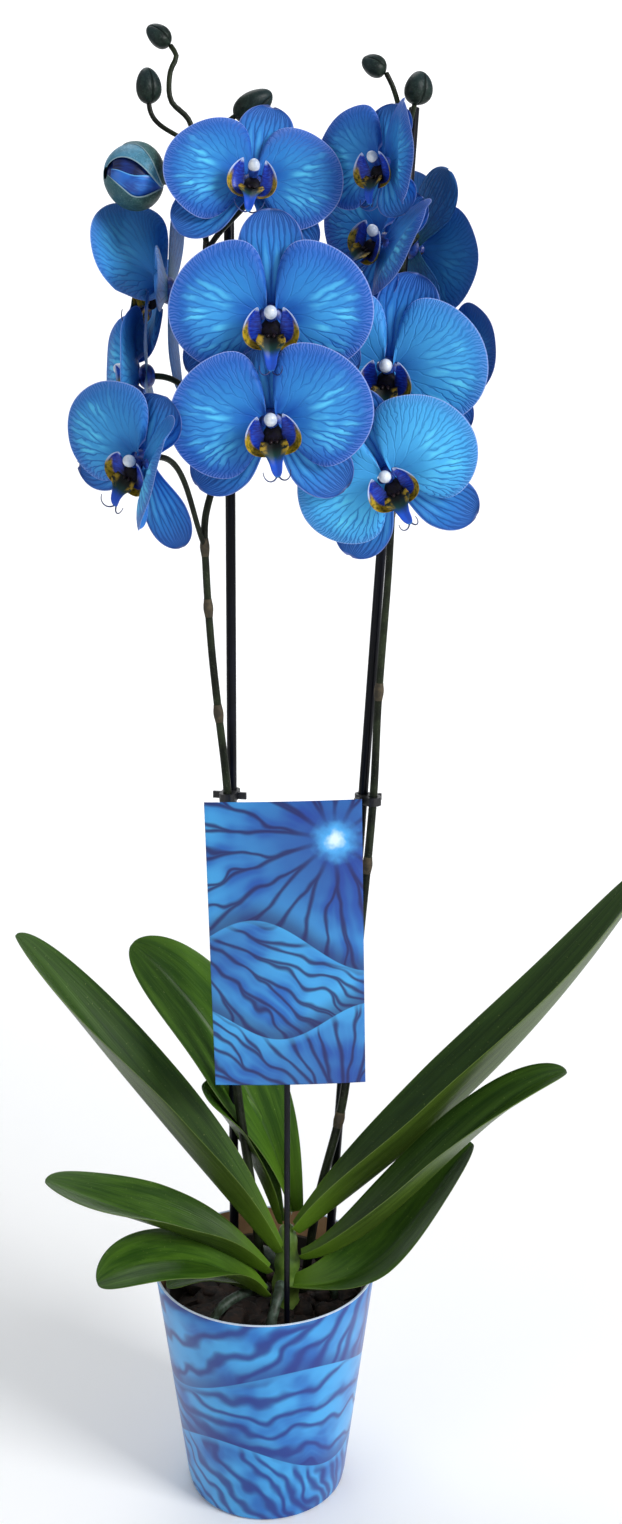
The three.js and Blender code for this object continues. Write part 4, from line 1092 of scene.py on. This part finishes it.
# Leaves: keel points, the near side at foot and tip, fold in degrees, half width, and painted light on the
# green
LEAVES = {
    "leaf_left_long": (
        [(6, -9, 141), (-28, -15, 190), (-72, -22, 250), (-124, -20, 327)],
        [(0.1, -1, -0.25), (0, -1, -0.35)], (66, 50, 24), 25, 0.15,
    ),
    "leaf_left_back": (
        [(15, 13, 153), (0, 28, 208), (-32, 38, 264), (-73, 42, 299)],
        [(-0.75, -0.5, -0.1), (-0.75, -0.65, -0.3)], (60, 30, 20), 26, 0.6,
    ),
    "leaf_left_inner": (
        [(7, 13, 146), (-6, 17, 188), (-22, 17, 212), (-34, 15, 228)],
        [(-0.2, -1, -0.1), (-0.2, -1, -0.3)], (66, 45, 24), 17, 0.7,
    ),
    "leaf_left_low": (
        [(1, -13, 131), (-36, -24, 166), (-70, -40, 178), (-110, -46, 204)],
        [(0.1, -1, 0.05), (0.1, -1, 0)], (60, 34, 16), 23, 0.25,
    ),
    "leaf_left_lowest": (
        [(0, -16, 119), (-32, -34, 158), (-58, -54, 166), (-83, -62, 156)],
        [(0.2, -1, 0), (0.2, -1, -0.15)], (55, 20, 12), 22, 0.5,
    ),
    "leaf_left_small": (
        [(-6, -10, 117), (-22, -20, 136), (-36, -28, 140), (-51, -33, 136)],
        [(0.3, -1, 0), (0.3, -1, -0.1)], (50, 30, 16), 10, 0.5,
    ),
    "leaf_right_long": (
        [(19, -4, 150), (60, -4, 188), (128, 4, 228), (208, 24, 352)],
        [(-0.1, -1, 0), (0, -1, -0.1)], (62, 44, 26), 29, 0.0,
    ),
    "leaf_right_middle": (
        [(20, -10, 138), (70, -20, 152), (104, -24, 232), (156, -26, 255)],
        [(-0.1, -1, 0), (0, -1, -0.1)], (60, 40, 22), 22, 0.2,
    ),
    "leaf_right_low": (
        [(15, -8.5, 121), (56, -30, 128), (76, -10, 152), (112, 2, 200)],
        [(-0.1, -1, -0.3), (0.3, -0.9, -0.1)], (52, 22, 24), 25, 0.4,
    ),
}


def leaf_half(u, half):
    """Half the width of a leaf: half (0.3 to 1 as sin) up to 0.56 of its length, then (1 - x^2.4)^0.5."""
    widest = 0.56
    foot = mix(0.3, 1.0, np.sin(math.pi / 2 * np.minimum(u / widest, 1)))
    tip = np.sqrt(np.maximum(1 - (np.maximum(u - widest, 0) / (1.001 - widest)) ** 2.4, 1e-4))
    return half * np.where(u < widest, foot, tip)


def leaf_surface(keel, side, fold, half, phase):
    """A keeled blade along a cubic curve: K(v) + a x cos f + up ((x^2 + 4)^0.5 - 2) sin f, x the distance
    from the midrib, a the near side square to the keel, and f the fold. A slow wave of
    0.9 t^2 sin(7v + phase) sin(pi v) runs along the margin."""
    foot, tip = (unit(np.array(s, float)) for s in side)

    def surface(u, v):
        t = 2 * u - 1
        along = cubic_slope(keel, v)
        near = foot * (1 - v[..., None]) + tip * v[..., None]
        near = unit(near - along * (near * along).sum(-1, keepdims=True))
        up = np.cross(along, near)
        up = up * np.where(up[..., 2:] < 0, -1.0, 1.0)
        first, second, third = fold
        angle = np.where(
            v < 0.5, mix(first, second, smooth(2 * v)), mix(second, third, smooth(2 * v - 1))
        )
        angle = np.radians(angle)
        out = t * leaf_half(v, half)
        wave = 0.9 * t * t * np.sin(7 * v + phase) * np.sin(math.pi * v)
        rise = (np.sqrt(out * out + 4) - 2) * np.sin(angle) + wave
        return cubic(keel, v) + near * (out * np.cos(angle))[..., None] + up * rise[..., None]

    return surface


def make_leaf(number, name):
    """A blade thickest along its midrib: rib (1 - 0.55 (2u - 1)^2)."""
    keel, side, fold, half, painted_light = LEAVES[name]
    rib = LEAF_RIB * (0.8 if half < 15 else 1.0)
    surface = leaf_surface(keel, side, fold, half, 1.7 * number)
    leaf = blade(surface, GRID["leaf"], lambda u, v: rib * (1 - 0.55 * (2 * u - 1) ** 2))
    piece(f"{name}_blade", [leaf], [LEAF], [name], 0.13 * number, painted_light)


for number, name in enumerate(LEAVES):
    make_leaf(number, name)


# Crown and roots
def make_crown():
    """Rings of old leaf sheaths: radius 8 (1 - 0.45 s^3) (1 + 0.07 cos 34 s)."""
    path = route([(10, -1, 78), (11, -2, 110), (12, -2, 132), (12, -1, 151)])
    ringed = tube(path, lambda s: 8 * (1 - 0.45 * s**3) * (1 + 0.07 * np.cos(34 * s)), 40, 90)
    piece("crown_sheaths", [ringed], [CROWN], ["crown"])


ROOTS = {
    "root_front": (3.1, [(9, -12, 124), (7, -21, 121), (4, -28, 112), (2, -31, 96), (1, -31, 86)]),
    "root_left": (3.0, [(0, -4, 116), (-10, -15, 121), (-22, -25, 119), (-30, -29, 107), (-32, -30, 90)]),
    "root_back": (2.8, [(7, 9, 120), (0, 18, 126), (-8, 26, 121), (-13, 31, 106), (-14, 33, 90)]),
    "root_right": (2.8, [(21, 2, 114), (29, 5, 119), (36, 5, 113), (39, 4, 101), (39, 3, 88)]),
}


def make_root(name, radius, points):
    """A bar whose radius is r (1 - 0.25 s) (1 + 0.06 sin 17s + 0.03 sin 41s)."""
    part = tube(
        route(points),
        lambda s: radius * (1 - 0.25 * s) * (1 + 0.06 * np.sin(17 * s) + 0.03 * np.sin(41 * s)),
        24,
        70,
        dome=0.3,
    )
    piece(f"{name}_skin", [part], [ROOT], [name])


make_crown()
for name, (radius, points) in ROOTS.items():
    make_root(name, radius, points)


# Bark: a filling with loose chips over it
def bark_chip(rng):
    """A chip: a superellipsoid |x|^4 + |y|^4 + |z|^4 = 1, dented by 0.1 sin(5x + p) sin(6y + q) sin(7z + r)
    and stretched to length, width and depth."""
    reach = CHIPS["reach"] * math.sqrt(rng.uniform())
    turn = rng.uniform(0, 2 * math.pi)
    centre = np.array([reach * math.cos(turn), reach * math.sin(turn), BARK_TOP + rng.uniform(-3, 2.5)])
    size = np.array([rng.uniform(low, high) for low, high in CHIP_SIZE])
    phase = rng.uniform(0, 6, 3)

    def swell(w, s):
        ring = np.sqrt(1 - s * s)
        x, y = ring * np.cos(w), ring * np.sin(w)
        norm = (np.abs(x) ** 4 + np.abs(y) ** 4 + np.abs(s) ** 4) ** -0.25
        dents = 1 + 0.1 * np.sin(5 * x + phase[0]) * np.sin(6 * y + phase[1]) * np.sin(7 * s + phase[2])
        return norm * dents, 1.0

    part = egg((0, 0, 0), (1, 0, 0), 2, 2, CHIPS["sides"], CHIPS["rings"], swell)
    tilt = rng.uniform(-0.5, 0.5, 2)
    spin = rng.uniform(0, math.pi)
    c, s = math.cos(spin), math.sin(spin)
    turn_z = np.array([[c, s, 0], [-s, c, 0], [0, 0, 1]])
    lean = np.array([[1, 0, tilt[0]], [0, 1, tilt[1]], [-tilt[0], -tilt[1], 1]])
    return part.placed(np.diag(size) @ lean @ turn_z, centre)


def make_bark():
    """A bevelled filling under chips strewn evenly over a disc."""
    rng = np.random.default_rng(CHIPS["seed"])
    inwards, down = FILLING["bevel"]
    profile = [
        (0, FILLING["bottom"]),
        (FILLING["bottom_radius"], FILLING["bottom"]),
        (FILLING["radius"], BARK_TOP - down),
        (FILLING["radius"] - inwards, BARK_TOP),
        (0, BARK_TOP + FILLING["crown"]),
    ]
    filling = turned(profile, FILLING["sides"])
    chips = [bark_chip(rng) for _ in range(CHIPS["count"])]
    piece("bark_chips", [filling, *chips], [BARK], ["bark"], sharp=50)


make_bark()


# Pots
def cone(height):
    """The outer radius of the cover at a height."""
    return mix(VASE["foot"], VASE["rim"], height / VASE["height"])


def make_vase():
    """A printed cone outside, brown card inside, and pale paper on the cut rim."""
    wall, top, bevel = VASE["wall"], VASE["height"], VASE["bevel"]
    outside = [
        (0, 0),
        (VASE["foot"] - bevel, 0),
        (cone(bevel) - 0.7, bevel * 0.4),
        (cone(2 * bevel), 2 * bevel),
        *[(cone(z), z) for z in np.linspace(2 * bevel, top - 0.4, 12)[1:]],
        (VASE["rim"] - 0.25, top),
        (VASE["rim"] - wall + 0.3, top),
        (cone(top - 0.4) - wall, top - 0.4),
        (cone(2 * bevel) - wall, 2 * bevel),
        (VASE["foot"] - bevel - 0.4, wall),
        (0, wall),
    ]
    shell = turned(outside, VASE["sides"])
    materials = [VASE_PRINT, KRAFT, PAPER]
    obj = piece("vase_shell", [shell], materials, ["vase"], sharp=40)
    mesh = obj.data
    centres = np.empty(3 * len(mesh.polygons))
    normals = np.empty(3 * len(mesh.polygons))
    mesh.polygons.foreach_get("center", centres)
    mesh.polygons.foreach_get("normal", normals)
    centres, normals = centres.reshape(-1, 3), normals.reshape(-1, 3)
    outward = (centres[:, :2] * normals[:, :2]).sum(1) > 0.3 * np.linalg.norm(centres[:, :2], axis=1)
    rim = (centres[:, 2] > (top - 0.5) * MM) & (normals[:, 2] > 0.3)
    mesh.polygons.foreach_set("material_index", np.where(rim, 2, np.where(outward, 0, 1)))


def make_pot():
    """A thin tapered pot with a turned-out lip."""
    top, wall, floor = POT["top"], POT["wall"], POT["floor"]
    under_rim = mix(POT["foot"], POT["rim"] - POT["lip"], (top - POT["depth"] - floor) / (top - floor))
    profile = [
        (0, floor),
        (POT["foot"] - 1, floor),
        (POT["foot"], floor + 1),
        (under_rim, top - POT["depth"]),
        (under_rim + POT["lip"], top - POT["depth"]),
        (POT["rim"], top),
        (POT["rim"] - POT["lip"] - wall, top),
        (POT["foot"] - wall, floor + wall),
        (0, floor + wall),
    ]
    shell = turned(profile, POT["sides"])
    piece("nursery_pot_shell", [shell], [POT_DARK], ["nursery_pot"], sharp=35)


make_vase()
make_pot()


# Stakes, clips and card
STAKES = {
    "stake_left": {"foot": (-18.6, 17, 14), "top": (-13.4, 12, 716), "capped": True},
    "stake_right": {"foot": (28, 20, 14), "top": (73, 13, 722), "capped": False},
}


def make_stake(name, foot, top, capped):
    """A round rod, with a wider cap over its top if it is capped."""
    rod = straight(foot, top)
    parts = [tube(rod, lambda s: STAKE["radius"], 32, 4, dome=0.3)]
    if capped:
        low = rod.at(1 - STAKE["cap_height"] / rod.length)
        parts.append(tube(straight(low, top), lambda s: STAKE["cap_radius"], 32, 2, dome=0.3))
    piece(f"{name}_rod", parts, [STAKE_DARK], [name], sharp=50)


for name, stake in STAKES.items():
    make_stake(name, **stake)

for name in ("clip_left", "clip_right"):
    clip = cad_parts[name]
    clip.data.materials.clear()
    clip.data.materials.append(CLIP_DARK)


def card_place():
    """The turn and the place of the card, which leans with its stake."""
    foot, top = np.array(CARD_STAKE["foot"], float), np.array(CARD_STAKE["top"], float)
    lean = math.atan2(foot[1] - top[1], top[2] - foot[2])
    roll = math.radians(CARD["roll"])
    about_x = np.array(
        [[1, 0, 0], [0, math.cos(lean), math.sin(lean)], [0, -math.sin(lean), math.cos(lean)]]
    )
    about_y = np.array(
        [[math.cos(roll), 0, -math.sin(roll)], [0, 1, 0], [math.sin(roll), 0, math.cos(roll)]]
    )
    return about_y @ about_x, np.array(CARD_CENTRE)


def make_card():
    """A sheet bowed by bow (2u - 1)^2, and its stake, a round rod with a flat head behind the sheet."""
    turn, at = card_place()

    def surface(u, v):
        across = (u - 0.5) * CARD["width"]
        return vec(across, CARD["bow"] * (2 * u - 1) ** 2, (v - 0.5) * CARD["height"])

    sheet = blade(surface, GRID["card"], lambda u, v: CARD["thickness"], (0, -1, 0))
    piece("card_sheet", [sheet.placed(turn, at)], [CARD_PRINT], ["card"])
    rod = straight(CARD_STAKE["foot"], CARD_STAKE["top"])
    bar = tube(rod, lambda s: CARD_STAKE["radius"], 24, 4, dome=0.3)
    behind = CARD["thickness"] / 2 + CARD_HEAD["gap"] + CARD_HEAD["thickness"] / 2

    def head_surface(u, v):
        height = CARD_HEAD["above_centre"] + (v - 0.5) * CARD_HEAD["height"]
        return vec((u - 0.5) * CARD_HEAD["width"], behind, height)

    head = blade(head_surface, GRID["card_head"], lambda u, v: CARD_HEAD["thickness"])
    parts = [bar, head.placed(turn, at)]
    piece("card_stake_rod", parts, [STAKE_DARK], ["card_stake"])


make_card()


# Studio: a pale floor that curves up into a backdrop, soft lights and the camera
FLOOR = {"front": -8.0, "bend_at": 2.6, "bend_radius": 1.0, "top": 6.0, "half_width": 8.0}
LIGHTS = {
    "key": {"at": (1.4, -1.05, 1.3), "size": 0.7, "power": 33},
    "fill": {"at": (-1.4, -1.0, 0.8), "size": 1.0, "power": 4},
    "top": {"at": (-0.2, 0.5, 1.9), "size": 0.9, "power": 8},
    "backdrop": {"at": (0.0, 1.6, 2.0), "size": 1.6, "power": 40, "aim": (0.0, 3.4, 0.7)},
}
SKY = {"colour": (0.96, 0.98, 1.0, 1.0), "strength": 0.42}
CAMERA = {"at": (0.025, -0.772, 0.603), "tilt": 76.1, "lens": 37.25, "sensor": 36}


def make_backdrop():
    """Level as far as the bend, then a quarter circle, then upright."""
    turn = np.radians(np.linspace(0, 90, 24))
    radius = FLOOR["bend_radius"]
    curve = np.stack([FLOOR["bend_at"] + radius * np.sin(turn), radius * (1 - np.cos(turn))], axis=1)
    upright = FLOOR["bend_at"] + radius
    profile = np.vstack([[(FLOOR["front"], 0.0)], curve, [(upright, FLOOR["top"])]])
    x = np.array([-FLOOR["half_width"], FLOOR["half_width"]])
    points = vec(x[None, :], profile[:, :1], profile[:, 1:])
    mesh = bpy.data.meshes.new("floor")
    mesh.from_pydata(points.reshape(-1, 3).tolist(), [], grid_faces(len(profile), 2).tolist())
    mesh.shade_smooth()
    g = Graph("floor")
    mesh.materials.append(g.finish((0.95, 0.955, 0.96), 0.8))
    floor = bpy.data.objects.new("floor", mesh)
    bpy.context.scene.collection.objects.link(floor)


def area_light(name, at, size, power, aim=(0.02, 0, 0.4)):
    """A square soft light at one point, turned to another and hidden from the camera."""
    data = bpy.data.lights.new(name, "AREA")
    data.energy = power
    data.size = size
    light = bpy.data.objects.new(name, data)
    light.location = at
    light.visible_camera = False
    light.rotation_euler = (Vector(aim) - Vector(at)).to_track_quat("-Z", "Y").to_euler()
    bpy.context.scene.collection.objects.link(light)


def make_studio():
    make_backdrop()
    for name, light in LIGHTS.items():
        area_light(name, **light)
    world = bpy.data.worlds.new("studio")
    world.use_nodes = True
    background = world.node_tree.nodes["Background"]
    background.inputs["Color"].default_value = SKY["colour"]
    background.inputs["Strength"].default_value = SKY["strength"]
    scene = bpy.context.scene
    scene.world = world
    scene.view_settings.view_transform = "Standard"
    data = bpy.data.cameras.new("camera")
    data.lens = CAMERA["lens"]
    data.sensor_width = CAMERA["sensor"]
    camera = bpy.data.objects.new("camera", data)
    camera.location = CAMERA["at"]
    camera.rotation_euler = (math.radians(CAMERA["tilt"]), 0, 0)
    scene.collection.objects.link(camera)
    scene.camera = camera


make_studio()
